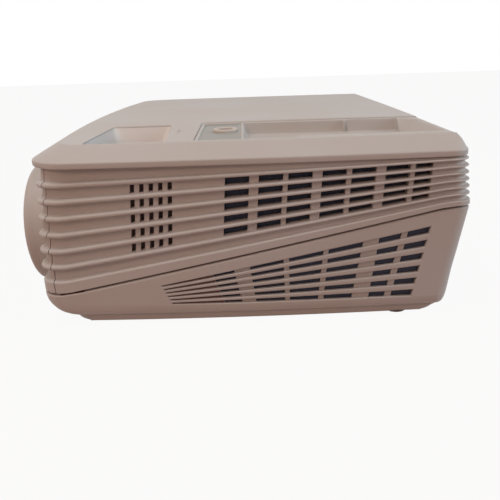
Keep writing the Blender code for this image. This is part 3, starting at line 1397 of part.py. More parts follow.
def add_screw(name, x, y, low_z):
    """A pan-head screw that points up, with its head just under low_z's seat."""
    turned(name, [(0, SCREW_LENGTH), (SCREW_SHANK, SCREW_LENGTH), (SCREW_SHANK, SCREW_HEAD),
                  (SCREW_RADIUS, SCREW_HEAD), (SCREW_RADIUS, 0), (0, 0)],
           STEEL, origin=(x, y, low_z), axis="Z", steps=8)


def screw_hole(piece, name, x, y, low_z):
    """Counterbore and clearance hole for a screw from below."""
    head = SCREW_RADIUS + PART_GAP
    shank = SCREW_SHANK + PART_GAP
    seat = low_z + SCREW_HEAD + PART_GAP
    boolean(piece, rod(name + "_head", head, (x, y, low_z - CUT_OVERRUN), (x, y, seat), steps=8))
    boolean(piece, rod(name + "_shank", shank, (x, y, low_z), (x, y, low_z + SCREW_LENGTH), steps=8))


def build_underside(tub):
    """Lamp cover with its screw, and the case screws."""
    half_x, half_y = COVER_SIZE[0] / 2, COVER_SIZE[1] / 2
    boolean(tub, block("cover_hole", (LAMP_X - half_x, COVER_Y - half_y, BASE_Z - CUT_OVERRUN),
                       (LAMP_X + half_x, COVER_Y + half_y, FLOOR_Z + PART_GAP)))
    gap = PART_GAP
    cover = block("lamp_cover", (LAMP_X - half_x + gap, COVER_Y - half_y + gap, BASE_Z + gap),
                  (LAMP_X + half_x - gap, COVER_Y + half_y - gap, FLOOR_Z), CREAM)
    screw_y = COVER_Y - half_y + COVER_SCREW_INSET
    screw_hole(cover, "cover_screw", LAMP_X, screw_y, BASE_Z + gap)
    add_screw("lamp_cover_screw", LAMP_X, screw_y, BASE_Z + gap)
    for number, (x, y) in enumerate(CASE_SCREW_SPOTS):
        name = f"case_screw_{number + 1}"
        screw_hole(tub, name, x, y, BASE_Z)
        add_screw(name, x, y, BASE_Z)


def main():
    """Build the projector."""
    start_scene()
    build_side_panels()
    build_front_bezel()
    build_rear_panel()
    tub = build_lower_case()
    build_top_cover()
    build_lens_surround()
    build_lens()
    knurled_ring("focus_ring", FOCUS_RING_Y)
    knurled_ring("zoom_ring", ZOOM_RING_Y)
    build_control_panel()
    build_buttons()
    build_status_lights()
    build_feet(tub)
    build_engine()
    build_colour_wheel()
    build_lamp()
    build_fan("exhaust_fan", EXHAUST_FAN_Y, 1)
    build_fan("intake_fan", INTAKE_FAN_Y, -1)
    build_boards(tub)
    build_speaker()
    build_sockets(tub)
    build_ir_window()
    build_underside(tub)
    open_lower_case(tub)
    settle()


main()
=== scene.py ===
# %% [markdown]
# # A small lamp projector, dressed from its frame
#
# The frame holds the real sizes and the motion. This file makes what the eye sees: the ribbed
# mouldings, the lid with its sunken key strip, the grilles, the lens, and the finish of every
# surface. Each cell makes one piece or a few helpers, and most cells print what they made.

# %% Start from the imported frame
import math

import bmesh
import bpy
from mathutils import Matrix, Vector


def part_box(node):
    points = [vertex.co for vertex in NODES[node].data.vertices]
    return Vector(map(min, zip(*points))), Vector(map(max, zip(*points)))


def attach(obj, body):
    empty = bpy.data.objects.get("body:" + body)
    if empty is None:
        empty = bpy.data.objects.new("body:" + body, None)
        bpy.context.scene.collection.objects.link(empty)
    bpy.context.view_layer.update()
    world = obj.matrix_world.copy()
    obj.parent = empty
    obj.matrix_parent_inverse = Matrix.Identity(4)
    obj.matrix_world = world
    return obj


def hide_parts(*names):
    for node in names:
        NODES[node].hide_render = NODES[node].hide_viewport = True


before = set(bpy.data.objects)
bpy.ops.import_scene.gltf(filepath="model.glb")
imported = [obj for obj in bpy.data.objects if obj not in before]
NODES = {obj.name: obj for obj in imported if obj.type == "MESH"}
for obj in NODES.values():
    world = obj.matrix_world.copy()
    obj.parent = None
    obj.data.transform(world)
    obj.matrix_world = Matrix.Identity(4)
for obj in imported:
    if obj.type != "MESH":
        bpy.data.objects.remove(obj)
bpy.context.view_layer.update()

MM = 0.001

# %% [markdown]
# ## Camera
#
# The picture was taken by hand from a little above the case, facing its left side, with a slight
# tilt. A camera is three angles, a place and a focal length. Building its axes by hand keeps the
# roll, which a plain look-at would lose.

# %% Camera at the photograph's angle
CAMERA_PLACE = Vector((433.2, 2.0, 140.4)) * MM
PITCH = math.radians(19.218)
YAW = math.radians(0.256)
ROLL = math.radians(-1.851)
FOCAL_SHARE = 1.16
SENSOR = 36.0


def camera_axes():
    """Right, up and forward of the camera, from its three angles."""
    forward = Vector((-math.cos(PITCH) * math.cos(YAW), math.cos(PITCH) * math.sin(YAW),
                      -math.sin(PITCH)))
    right = Vector((math.sin(YAW), math.cos(YAW), 0))
    up = right.cross(forward)
    rolled_right = right * math.cos(ROLL) + up * math.sin(ROLL)
    rolled_up = up * math.cos(ROLL) - right * math.sin(ROLL)
    return rolled_right, rolled_up, forward


camera = bpy.data.objects.new("photo_camera", bpy.data.cameras.new("photo_camera"))
bpy.context.scene.collection.objects.link(camera)
right_axis, up_axis, forward_axis = camera_axes()
turn = Matrix((right_axis, up_axis, -forward_axis)).transposed().to_4x4()
camera.matrix_world = Matrix.Translation(CAMERA_PLACE) @ turn
camera.data.sensor_width = SENSOR
camera.data.lens = SENSOR * FOCAL_SHARE
camera.data.clip_start = 0.01
bpy.context.scene.camera = camera
print("camera:", [round(value, 3) for value in camera.location], "lens", camera.data.lens)

# %% [markdown]
# ## Nodes in a few words
#
# A material is a tree of nodes. Written out, each node takes several lines to add, set and join.
# Two short helpers do that for every finish here, so a recipe reads as what feeds what.

# %% Node helpers
def feed(tree, socket, value):
    """Join another node's socket to a socket, or write a plain value into it."""
    if isinstance(value, bpy.types.NodeSocket):
        tree.links.new(value, socket)
    else:
        socket.default_value = value


def add_node(tree, kind, *feeds, **settings):
    """Add a shader node: feeds fill its sockets in order, settings its options and sockets by name."""
    node = tree.nodes.new("ShaderNode" + kind)
    for key, value in settings.items():
        name = key.replace("_", " ")
        if name in node.inputs:
            feed(tree, node.inputs[name], value)
        else:
            setattr(node, key, value)
    for socket, value in zip(node.inputs, feeds):
        feed(tree, socket, value)
    return node


def new_material(name):
    """An empty node material and its tree."""
    made = bpy.data.materials.new(name)
    made.use_nodes = True
    made.node_tree.nodes.clear()
    return made, made.node_tree


print("node helpers ready")

# %% [markdown]
# ## Floor and light
#
# The floor is a large pale sheet. To the camera, and to what glossy and clear surfaces see, it
# is nearly plain white, and it still takes a faint shadow. The case is lit softly: a broad light
# from above, a warm one at the side that the camera looks at, and a cool window behind the case.

# %% Floor, world and lamps
view = bpy.context.scene.view_settings
view.view_transform = "Standard"


def seen_directly(tree):
    """A value of 1 for rays from the camera and those that gloss and glass send out."""
    ray = add_node(tree, "LightPath").outputs
    first = add_node(tree, "Math", ray["Is Camera Ray"], ray["Is Glossy Ray"], operation="MAXIMUM")
    second = add_node(tree, "Math", first.outputs[0], ray["Is Transmission Ray"], operation="MAXIMUM")
    return second.outputs[0]


def make_floor():
    """A wide pale floor whose shading is lifted to white around the object."""
    bm = bmesh.new()
    bmesh.ops.create_grid(bm, x_segments=8, y_segments=8, size=2.5)
    mesh = bpy.data.meshes.new("floor")
    bm.to_mesh(mesh)
    bm.free()
    floor = bpy.data.objects.new("floor", mesh)
    floor.location.z = -0.02 * MM
    bpy.context.scene.collection.objects.link(floor)
    made, tree = new_material("floor_pale")
    shadow = add_node(tree, "BsdfDiffuse", Color=(0.50, 0.36, 0.32, 1))
    white = add_node(tree, "Emission", Color=(1, 1, 1, 1))
    share = add_node(tree, "Math", seen_directly(tree), 0.94, operation="MULTIPLY")
    mix = add_node(tree, "MixShader", share.outputs[0], shadow.outputs[0], white.outputs[0])
    add_node(tree, "OutputMaterial", mix.outputs[0])
    mesh.materials.append(made)


def make_world():
    """A dim even sky that is white where the camera sees it."""
    world = bpy.data.worlds.new("studio")
    world.use_nodes = True
    tree = world.node_tree
    tree.nodes.clear()
    sky = add_node(tree, "Background", Color=(1.0, 0.68, 0.62, 1), Strength=0.19)
    white = add_node(tree, "Background", Color=(1, 1, 1, 1), Strength=1.0)
    mix = add_node(tree, "MixShader", seen_directly(tree), sky.outputs[0], white.outputs[0])
    add_node(tree, "OutputWorld", mix.outputs[0])
    bpy.context.scene.world = world


def add_lamp(name, place, size, watts, colour):
    """A square area lamp that looks at the middle of the case."""
    data = bpy.data.lights.new(name, "AREA")
    data.shape = "SQUARE"
    data.size = size
    data.energy = watts
    data.color = colour
    lamp = bpy.data.objects.new(name, data)
    lamp.location = place
    aim = Vector(CASE_MIDDLE) - Vector(place)
    lamp.rotation_euler = aim.to_track_quat("-Z", "Y").to_euler()
    bpy.context.scene.collection.objects.link(lamp)


make_floor()
make_world()
CASE_MIDDLE = (0, 0, 0.05)
add_lamp("sky_panel", (0.32, -0.30, 1.05), 0.45, 4.7, (1.0, 0.99, 0.97))
add_lamp("side_panel_light", (1.02, -0.62, 0.80), 0.5, 3.6, (1.0, 0.68, 0.55))
add_lamp("rear_window", (0.22, 1.26, 0.50), 0.5, 7.8, (0.74, 0.89, 1.0))

# %% [markdown]
# ## The plan of the case
#
# Every moulding follows one outline: four bowed edges with round corners. It could be drawn as a
# curve and offset, but an offset curve can't change its lean at the front and the rear. So one
# function gives a ring of points for any inset, and each moulding is a stack of such rings. All
# sizes from here on are millimetres, and one helper turns them into metres at the end.

# %% Outline of the case
CORNER_X = 147.5
SIDE_BOW = 2.5
FRONT_BOW = 8.6
REAR_BOW = 1.15
FRONT_LEFT_Y, FRONT_RIGHT_Y = -106.7, -99.2
REAR_LEFT_Y, REAR_RIGHT_Y = 116.0, 113.2
FRONT_RADIUS, REAR_RADIUS = 11.5, 9.5
LEAST_RADIUS = 1.2
CORNER_STEPS, REAR_STEPS, FRONT_STEPS = 10, 30, 44
ARC_PULL = 0.5523
CROSSING_TRIES = 6
LEFT, REAR, RIGHT, FRONT_EDGE = range(4)
RISE_START_Y = FRONT_LEFT_Y + FRONT_RADIUS
RISE_END_Y = REAR_LEFT_Y - REAR_RADIUS


def between(value, low, high):
    """How far a value has come from low to high."""
    return (value - low) / (high - low)


def clamped(share):
    """A share kept from 0 to 1."""
    return min(max(share, 0.0), 1.0)


def rise(y, front_z, rear_z):
    """Height at y of a line that is level at both ends and straight along the side."""
    return front_z + (rear_z - front_z) * clamped(between(y, RISE_START_Y, RISE_END_Y))


def rising(front_z, rear_z):
    """The line of rise() as a function of y alone."""
    return lambda y: rise(y, front_z, rear_z)


def level(value):
    """A height that is the same all the way round, or a column that is the same at all heights."""
    return lambda _: value


print("plan: corners at +-%.1f mm, rise from y %.1f to %.1f" % (CORNER_X, RISE_START_Y, RISE_END_Y))

# %% [markdown]
# ## One ring round the case
#
# Each edge bows out a little, so a point on it is its chord plus a parabola. A corner is a cubic
# curve that leaves one edge and arrives at the next in that edge's own direction, so the wall shades
# smoothly round it. On the sides slanting columns cross rising rows. Such a crossing is found by
# trying a few times, each time from a better height.

# %% Rings of points
def on_edge(start, end, bow, share):
    """Point and direction on one bowed edge."""
    chord = end - start
    outward = Vector((chord.y, -chord.x)).normalized()
    point = start + chord * share + outward * (4 * bow * share * (1 - share))
    return point, chord + outward * (4 * bow * (1 - 2 * share))


def round_corner(start, leave, end, arrive, wrap):
    """Points of a round corner between two edges, up to a share short of its end."""
    across = leave.x * arrive.y - leave.y * arrive.x
    gap = end - start
    meet = start + leave * ((gap.x * arrive.y - gap.y * arrive.x) / across)
    first, second = start.lerp(meet, ARC_PULL), end.lerp(meet, ARC_PULL)
    points = []
    for i in range(1, CORNER_STEPS + 1):
        t = (1 - wrap) * i / CORNER_STEPS
        u = 1 - t
        points.append(start * u**3 + first * (3 * u * u * t) + second * (3 * u * t * t) + end * t**3)
    return points


def ring_of(insets, height, columns, right_height=None, radius=None, wrap=0.0, fore=None):
    """One ring of points round the case: left side, rear, right side and front.

    insets are (front, side at the front, side at the rear, rear); a column is a function that
    gives y for a height on the sides. wrap moves the first point back round the front corner,
    and fore is another radius for the two front corners.
    """
    front, side_front, side_rear, rear = insets
    right_height = right_height or height
    ys = [FRONT_LEFT_Y + front, REAR_LEFT_Y - rear, REAR_RIGHT_Y - rear, FRONT_RIGHT_Y + front]
    xs = [CORNER_X - side_front, CORNER_X - side_rear, side_rear - CORNER_X, side_front - CORNER_X]
    corners = [Vector((x, y)) for x, y in zip(xs, ys)]
    fore = fore or max(FRONT_RADIUS - side_front, LEAST_RADIUS)
    aft = max(REAR_RADIUS - side_rear, LEAST_RADIUS)
    radii = [radius] * 4 if radius else [fore, aft, aft, fore]
    bows = [SIDE_BOW, REAR_BOW, SIDE_BOW, FRONT_BOW]
    edges = []
    for i in range(4):
        j = (i + 1) % 4
        length = (corners[j] - corners[i]).length
        trims = radii[i] / length, 1 - radii[j] / length
        edges.append((corners[i], corners[j], bows[i], trims))
    points = []
    for i, (start, end, bow, (first, last)) in enumerate(edges):
        line = height if i in (LEFT, REAR) else right_height
        if i in (LEFT, RIGHT):
            shares = side_shares(start, end, (first, last), line, columns, i)
        else:
            steps = REAR_STEPS if i == REAR else FRONT_STEPS
            shares = [first + (last - first) * k / steps for k in range(steps + 1)]
        for share in shares:
            point, _ = on_edge(start, end, bow, share)
            points.append(Vector((point.x, point.y, line(point.y))))
        leave_point, leave = on_edge(start, end, bow, last)
        next_start, next_end, next_bow, (next_first, _) = edges[(i + 1) % 4]
        arrive_point, arrive = on_edge(next_start, next_end, next_bow, next_first)
        at_front = i == FRONT_EDGE
        corner = round_corner(leave_point, leave, arrive_point, arrive, wrap if at_front else 0.0)
        for point in corner[:-1]:
            points.append(Vector((point.x, point.y, line(point.y))))
        if at_front and wrap:
            points[0] = Vector((corner[-1].x, corner[-1].y, height(corner[-1].y)))
    return points


def side_shares(start, end, ends, height, columns, edge):
    """Shares of a side's length where its columns cross a row, given from the front on."""
    first, last = ends
    shares = []
    for column in columns:
        y = 0.0
        for _ in range(CROSSING_TRIES):
            y = column(height(y))
        shares.append(between(y, start.y, end.y) if edge == LEFT else 1 - between(y, end.y, start.y))
    return [first] + (shares if edge == LEFT else shares[::-1]) + [last]


plan = ring_of((0, 0, 0, 0), level(0.0), [])
print("plan:", len(plan), "points without columns")

# %% [markdown]
# ## Two skins make a moulding
#
# A moulding is a thin wall with an outer and an inner surface. Blender's Solidify would make the
# inner one, but it folds over itself inside the narrow ribs. So both surfaces are laid out as grids
# with the same rows and columns, and the cells of a slot are simply left out of both. The helper
# joins the two skins round every border and marks those edges, so a bevel can soften just them.
# Simpler bodies are stacks of rings, and a turned body is a stack whose rings are circles.

# %% Two skins, and stacks of rings
def mesh_object(name, bm):
    """A scene object from a bmesh drawn in millimetres."""
    bmesh.ops.scale(bm, vec=(MM, MM, MM), verts=bm.verts)
    mesh = bpy.data.meshes.new(name)
    bm.to_mesh(mesh)
    bm.free()
    made = bpy.data.objects.new(name, mesh)
    bpy.context.scene.collection.objects.link(made)
    return made


def two_skins(name, outer, inner, is_open=None, round_case=False, floor=False):
    """A closed body between two grids of points, less the cells that are open."""
    bm = bmesh.new()
    weight = bm.edges.layers.float.new("bevel_weight_edge")
    skins = [[[bm.verts.new(point) for point in row] for row in grid] for grid in (outer, inner)]
    rows, columns = len(outer) - 1, len(outer[0])
    cells = columns if round_case else columns - 1
    solid = [[not (is_open and is_open(r, c)) for c in range(cells)] for r in range(rows)]

    def filled(r, c):
        if round_case:
            c %= cells
        return 0 <= c < cells and (0 <= r < rows and solid[r][c] or floor and r == rows)

    def border(first, second):
        (r, c), (s, d) = first, second
        out, back = skins
        bm.faces.new((out[r][c], out[s][d], back[s][d], back[r][c]))
        bm.edges.get((out[r][c], out[s][d]))[weight] = 1.0

    for r in range(rows):
        for c in range(cells):
            if not solid[r][c]:
                continue
            d = (c + 1) % columns
            for side, skin in enumerate(skins):
                face = [skin[r][c], skin[r + 1][c], skin[r + 1][d], skin[r][d]]
                bm.faces.new(face[::-1] if side else face)
            if not filled(r - 1, c):
                border((r, d), (r, c))
            if not filled(r + 1, c):
                border((r + 1, c), (r + 1, d))
            if not filled(r, c - 1):
                border((r, c), (r + 1, c))
            if not filled(r, c + 1):
                border((r + 1, d), (r, d))
    if floor:
        bm.faces.new(skins[0][-1])
        bm.faces.new(skins[1][-1][::-1])
    loose = [vert for vert in bm.verts if not vert.link_faces]
    bmesh.ops.delete(bm, geom=loose, context="VERTS")
    bmesh.ops.recalc_face_normals(bm, faces=bm.faces)
    return mesh_object(name, bm)


def add_stack(bm, rings, capped):
    """Add a body from rings of points to a bmesh."""
    laid = [[bm.verts.new(point) for point in ring] for ring in rings]
    if not capped:
        laid.append(laid[0])
    for low, high in zip(laid, laid[1:]):
        for i in range(len(low)):
            j = (i + 1) % len(low)
            bm.faces.new((low[i], low[j], high[j], high[i]))
    if capped:
        bm.faces.new(laid[0][::-1])
        bm.faces.new(laid[-1])


def stack(name, rings, capped=True):
    """A closed body from rings of points: capped at both ends, or running back to its start."""
    bm = bmesh.new()
    add_stack(bm, rings, capped)
    bmesh.ops.recalc_face_normals(bm, faces=bm.faces)
    return mesh_object(name, bm)


def lathe(name, profile, centre, axis="Y", steps=96, capped=False):
    """A turned body from (radius, distance along the axis) pairs."""
    rings = []
    for radius, along in profile:
        ring = []
        for i in range(steps):
            angle = math.tau * i / steps
            a, b = radius * math.cos(angle), radius * math.sin(angle)
            ring.append(Vector(centre) + Vector((a, along, b) if axis == "Y" else (a, b, along)))
        rings.append(ring)
    return stack(name, rings, capped)


def upright(name, profile, centre, steps):
    """A solid body turned about an upright axis through a point's x and y."""
    return lathe(name, profile, (centre.x, centre.y, 0), "Z", steps, capped=True)


def box_cutter(name, low, high):
    """A plain block to cut with."""
    (x0, y0, z0), (x1, y1, z1) = low, high
    rings = [[Vector(p) for p in ((x0, y0, z), (x1, y0, z), (x1, y1, z), (x0, y1, z))] for z in (z0, z1)]
    return stack(name, rings)


def upright_rod(name, radius, centre, low_z, high_z, steps=40):
    """An upright round cutter."""
    return upright(name, [(radius, low_z), (radius, high_z)], centre, steps)


print("builders: grids between two skins, stacks of rings, and turned bodies")

# %% [markdown]
# ## Cutting, softening and dressing
#
# Holes that don't follow a grid are cut by an exact Boolean, which is safe between closed bodies. A
# narrow bevel rounds the rims, because sharp edges look like paper. Weighted normals keep broad
# faces flat beside narrow ones.

# %% Cutting, softening and dressing
CASE = "case"
WEIGHTED_FROM = 500


def bake(piece):
    """Apply a piece's modifiers to its mesh."""
    graph = bpy.context.evaluated_depsgraph_get()
    mesh = bpy.data.meshes.new_from_object(piece.evaluated_get(graph))
    piece.modifiers.clear()
    piece.data = mesh
    return piece


def cut(piece, *cutters):
    """Take cutters away from a piece, and remove them."""
    for cutter in cutters:
        step = piece.modifiers.new("cut", "BOOLEAN")
        step.operation = "DIFFERENCE"
        step.solver = "EXACT"
        step.object = cutter
        bake(piece)
        bpy.data.objects.remove(cutter)
    return piece


def soften(piece, width, segments=2):
    """A small bevel on the marked edges."""
    step = piece.modifiers.new("soften", "BEVEL")
    step.width = width * MM
    step.segments = segments
    step.limit_method = "WEIGHT"
    step.miter_outer = "MITER_SHARP"
    return bake(piece)


def dress(piece, material, nodes=(), body=CASE, smooth=50):
    """Smooth the faces, give the finish, and hang the piece on its body."""
    piece.data.materials.clear()
    piece.data.materials.append(material)
    for face in piece.data.polygons:
        face.use_smooth = True
    piece.data.set_sharp_from_angle(angle=math.radians(smooth))
    if len(piece.data.polygons) > WEIGHTED_FROM:
        step = piece.modifiers.new("weighted", "WEIGHTED_NORMAL")
        step.keep_sharp = True
        bake(piece)
    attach(piece, body)
    if nodes:
        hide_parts(*nodes)
    print(piece.name, "faces", len(piece.data.polygons), "on", body)
    return piece


# %% [markdown]
# ## The plastic
#
# The case is off-white moulded plastic that has yellowed a little and unevenly. One flat colour
# looks like paper, so large soft noise shifts the tint, fine noise gives the spark-eroded grain,
# and a few specks stand for dust. The same recipe with other colours serves the grey and dark
# mouldings, so it is one function.

# %% Moulded plastic
def ramp(tree, source, *stops):
    """A colour ramp with (place, colour) stops fed from a socket."""
    node = add_node(tree, "ValToRGB", source)
    band = node.color_ramp
    while len(band.elements) < len(stops):
        band.elements.new(0.5)
    for element, (place, colour) in zip(band.elements, stops):
        element.position = place
        element.color = (*colour, 1)
    return node.outputs[0]


def shade_of(colour, amount):
    """A colour made lighter or darker by a share."""
    return tuple(min(value * amount, 1) for value in colour)


def place_in(tree):
    """The object's own coordinates."""
    return add_node(tree, "TexCoord").outputs["Object"]


def surface(tree, bump=None, **sockets):
    """The shader and the output of a finish; bump is a height, a strength and a depth in mm."""
    shader = add_node(tree, "BsdfPrincipled", **sockets)
    if bump:
        height, strength, depth = bump
        node = add_node(tree, "Bump", Height=height, Strength=strength, Distance=depth * MM)
        feed(tree, shader.inputs["Normal"], node.outputs["Normal"])
    add_node(tree, "OutputMaterial", shader.outputs[0])


def moulded(name, colour, warm, grain=0.25, rough=(0.42, 0.55), specks=0.0, size=900.0):
    """Moulded plastic: tint that drifts, fine grain in gloss and surface, and a few specks."""
    made, tree = new_material(name)
    place = place_in(tree)
    drift = add_node(tree, "TexNoise", Vector=place, Scale=14.0, Detail=3.0, Roughness=0.5)
    fine = add_node(tree, "TexNoise", Vector=place, Scale=size, Detail=2.0, Roughness=0.6)
    tint = ramp(tree, drift.outputs["Fac"], (0.30, warm), (0.62, colour), (0.85, shade_of(colour, 1.03)))
    if specks:
        dots = add_node(tree, "TexVoronoi", Vector=place, Scale=210.0)
        spot = ramp(tree, dots.outputs["Distance"], (0.035, (specks,) * 3), (0.06, (0, 0, 0)))
        dark = (*shade_of(colour, 0.45), 1)
        tint = add_node(tree, "Mix", data_type="RGBA", Factor=spot, A=tint, B=dark).outputs["Result"]
    gloss = add_node(tree, "MapRange", Value=fine.outputs["Fac"], To_Min=rough[0], To_Max=rough[1])
    surface(tree, (fine.outputs["Fac"], grain, 0.05), Base_Color=tint, Roughness=gloss.outputs["Result"],
            Specular_IOR_Level=0.22)
    return made


IVORY = moulded("ivory_plastic", (0.53, 0.505, 0.475), (0.515, 0.475, 0.43), specks=0.5)
TRAY_GREY = moulded("tray_grey", (0.37, 0.37, 0.345), (0.34, 0.33, 0.30), specks=0.3)
# Brown for painted shade, with some grime, in the seam and the front of the grille grooves.
SEAM_SHADE_AND_GRIME = moulded("seam_painted_shade_and_grime", (0.20, 0.12, 0.10), (0.14, 0.08, 0.07))
print("finishes:", [m.name for m in bpy.data.materials])

# %% [markdown]
# ## The ribbed wall
#
# Seven ribs run level round the front, close up along the sides and are a fan of straight lines
# there. Each rib is a rounded nose, and the wall under it is scooped out and comes forward again
# to the next rib. Ribs could be separate strips, but on the real case they are one moulding with
# the wall. So each row of the grid has a height at the front, a height at the rear, and a measure
# of how proud it stands. The lowest rib runs straight down as the skirt over the seam.

# %% Rows and columns of the ribbed wall
LIP_Z = 86.1
RIB_COUNT = 7
RIB_FRONT_Z, RIB_FRONT_PITCH = 77.5, 8.8
RIB_REAR_Z, RIB_REAR_PITCH = 84.6, 3.65
FRONT_LEAN, REAR_LEAN, LEAN_LIMIT = 0.09, 0.17, 4.4
FRONT_TIP, FRONT_RELIEF, REAR_RELIEF = 2.2, 2.4, 1.6
WALL_INSET, RIB_PROUD, WALL = 4.5, 3.0, 2.2
WALL_TOP_Z = 85.8
SKIRT_FRONT_Z, SKIRT_REAR_Z = 19.3, 60.6
SLOT_TOP, SPEAKER_TOP, SLOT_FOOT = 0.21, 0.255, 0.785
WRAP_FOOT, WRAP_GAIN = 0.14, 0.28
PLAIN = None
NOSE = [(-0.205, 0.15), (-0.192, 0.26), (-0.175, 0.42), (-0.155, 0.60), (-0.13, 0.76), (-0.10, 0.88),
        (-0.065, 0.96), (-0.02, 1.0), (0.03, 1.0), (0.065, 0.99), (0.095, 0.94), (0.119, 0.84),
        (0.137, 0.70), (0.15, 0.52), (0.16, 0.34), (0.168, 0.17), (0.176, 0.04), (0.19, -0.04)]
SCOOP = [(SLOT_TOP, -0.08), (SPEAKER_TOP, -0.12), (0.42, -0.13), (0.56, -0.09), (0.68, -0.01),
         (SLOT_FOOT, 0.11)]


def lean_column(y0):
    """A column that leans forward towards its foot, as the bars between the vents do."""
    return lambda z: y0 - (77.0 - z) * 0.065


VENTS = [(-8.3, 4.0), (8.8, 21.1), (23.6, 35.9), (40.7, 53.0), (55.5, 67.8), (72.6, 84.9), (87.4, 96.2)]
SPEAKER_SLOTS = [(-56.4 + 4.8 * k, -54.15 + 4.8 * k) for k in range(5)]
PLAIN_COLUMNS = [-94.0, -90.0, -80.0, -70.0, -62.0, -30.0, -20.0, -13.0, 100.0, 103.5]
SIDE_COLUMNS = sorted(PLAIN_COLUMNS + [y for pair in VENTS + SPEAKER_SLOTS for y in pair])
COLUMN_RULES = [lean_column(y) for y in SIDE_COLUMNS]


def wall_rows():
    """Every row of the wall: heights, proudness, and the gap between ribs that it lies in."""
    rows = [(WALL_TOP_Z, WALL_TOP_Z, 0.0, PLAIN, 0), (82.5, 85.65, 0.06, PLAIN, 0)]
    for number in range(RIB_COUNT):
        section = NOSE + SCOOP if number < RIB_COUNT - 1 else [s for s in NOSE if s[0] <= 0.03]
        for t, proud in section:
            front_z = RIB_FRONT_Z - RIB_FRONT_PITCH * (number + t)
            rear_z = RIB_REAR_Z - RIB_REAR_PITCH * (number + t)
            rows.append((front_z, rear_z, proud, number, t))
    return rows + [(20.2, 61.0, 1.0, PLAIN, 0), (SKIRT_FRONT_Z, SKIRT_REAR_Z, 1.0, PLAIN, 0)]


def front_lean(z):
    """How far the front has come forward at a height; the foot of the wall is upright."""
    return -min((LIP_Z - z) * FRONT_LEAN, LEAN_LIMIT)


def wall_ring(front_z, rear_z, front_inset, inset, rear_inset):
    """One ring of the wall at insets from the plan, leaning out towards its foot."""
    insets = (front_inset + front_lean(front_z), inset, rear_inset,
              rear_inset + (rear_z - LIP_Z) * REAR_LEAN)
    wrap = WRAP_FOOT + WRAP_GAIN * clamped(between(front_z, 18.0, LIP_Z))
    return ring_of(insets, rising(front_z, rear_z), COLUMN_RULES, wrap=wrap)


def outer_ring(front_z, rear_z, proud):
    """A ring of the outer face: deep ribs in front, shallow ones as far out as the lip behind."""
    rear_tip = (LIP_Z - rear_z) / 20 - 0.3
    return wall_ring(front_z, rear_z, FRONT_TIP + FRONT_RELIEF * (1 - proud),
                     WALL_INSET - RIB_PROUD * proud, rear_tip + REAR_RELIEF * (1 - proud))


ROWS = wall_rows()
OUTER_WALL = [outer_ring(front_z, rear_z, proud) for front_z, rear_z, proud, _, _ in ROWS]
INNER_INSET = WALL_INSET + WALL
INNER_WALL = [wall_ring(row[0], row[1], INNER_INSET, INNER_INSET, INNER_INSET) for row in ROWS]
SIDE_END = len(SIDE_COLUMNS) + 1
REAR_START = SIDE_END + CORNER_STEPS
REAR_END = REAR_START + REAR_STEPS
RIGHT_START = REAR_END + CORNER_STEPS
RIGHT_END = RIGHT_START + SIDE_END
ROUND = len(OUTER_WALL[0])
print("wall:", len(ROWS), "rows of", ROUND, "points")

# %% [markdown]
# ## Four mouldings from one wall
#
# The wall parts at the front corners and behind the rear corners, where the real mouldings meet.
# Cutting with planes would leave ragged rims, so each piece takes its own run of columns, and its
# end columns are drawn back a little for the parting line. The lens opening is bored afterwards,
# because a round hole doesn't follow the grid.

# %% Side, front and rear mouldings
PARTING, RIM_BEVEL = 0.22, 0.22
SPEAKER_ROWS = 5


def run_of(grid, first, last):
    """The columns of a grid from first to last, going round, with both ends drawn back."""
    part = []
    for row in grid:
        points = [row[i % len(row)].copy() for i in range(first, last + 1)]
        points[0] += (points[1] - points[0]).normalized() * PARTING
        points[-1] += (points[-2] - points[-1]).normalized() * PARTING
        part.append(points)
    return part


def slot_cell(side_sign, vent_rows, with_speaker):
    """A test that says which cells of a side moulding are slots."""
    starts = {SIDE_COLUMNS.index(a): SLOT_TOP for a, _ in VENTS}
    if with_speaker:
        starts.update({SIDE_COLUMNS.index(a): SPEAKER_TOP for a, _ in SPEAKER_SLOTS})

    def is_open(r, c):
        column = c - 1 if side_sign > 0 else SIDE_END - 2 - (c - CORNER_STEPS)
        _, _, _, gap, t = ROWS[r]
        rows = vent_rows if starts.get(column) == SLOT_TOP else SPEAKER_ROWS
        return gap is not PLAIN and gap < rows and column in starts and starts[column] <= t < SLOT_FOOT
    return is_open


def wall_piece(name, first, last, is_open=None):
    """One moulding of the wall, with softened rims."""
    made = two_skins(name, run_of(OUTER_WALL, first, last), run_of(INNER_WALL, first, last), is_open)
    return soften(made, RIM_BEVEL)


LENS_X, LENS_Z = 100.0, 47.0
LENS_AXIS = (LENS_X, 0, LENS_Z)
LENS_BORE = 34.3


def lens_bore():
    """The round cutter of the lens opening."""
    return lathe("lens_bore", [(LENS_BORE, -135), (LENS_BORE, -80)], LENS_AXIS, capped=True)


left_side = wall_piece("ribbed_left_side", 0, REAR_START, slot_cell(1, 5, True))
dress(left_side, IVORY, ["left_side_panel"])
dress(wall_piece("ribbed_rear", REAR_START, REAR_END), IVORY, ["rear_panel"])
right_side = wall_piece("ribbed_right_side", REAR_END, RIGHT_END, slot_cell(-1, 3, False))
dress(right_side, IVORY, ["right_side_panel"])
front_wall = wall_piece("ribbed_front", RIGHT_END, ROUND)
cut(front_wall, box_cutter("window_hole", (1.2, -125.0, 53.9), (18.8, -95.0, 57.9)), lens_bore())
dress(front_wall, IVORY, ["front_bezel"])

# %% [markdown]
# ## The lower case and its fan-shaped grille
#
# Below the slanting seam the case is a tub. Its left side carries six grille rows that spread from
# one point at the front towards the rear, with bars behind them. Cutting six long wedges with
# Booleans would give sharp paper edges. Here the rows of the grid are the grille's own lines: for
# each slot there is a rounded slat edge, a shallow groove, and the open cells between the bars.

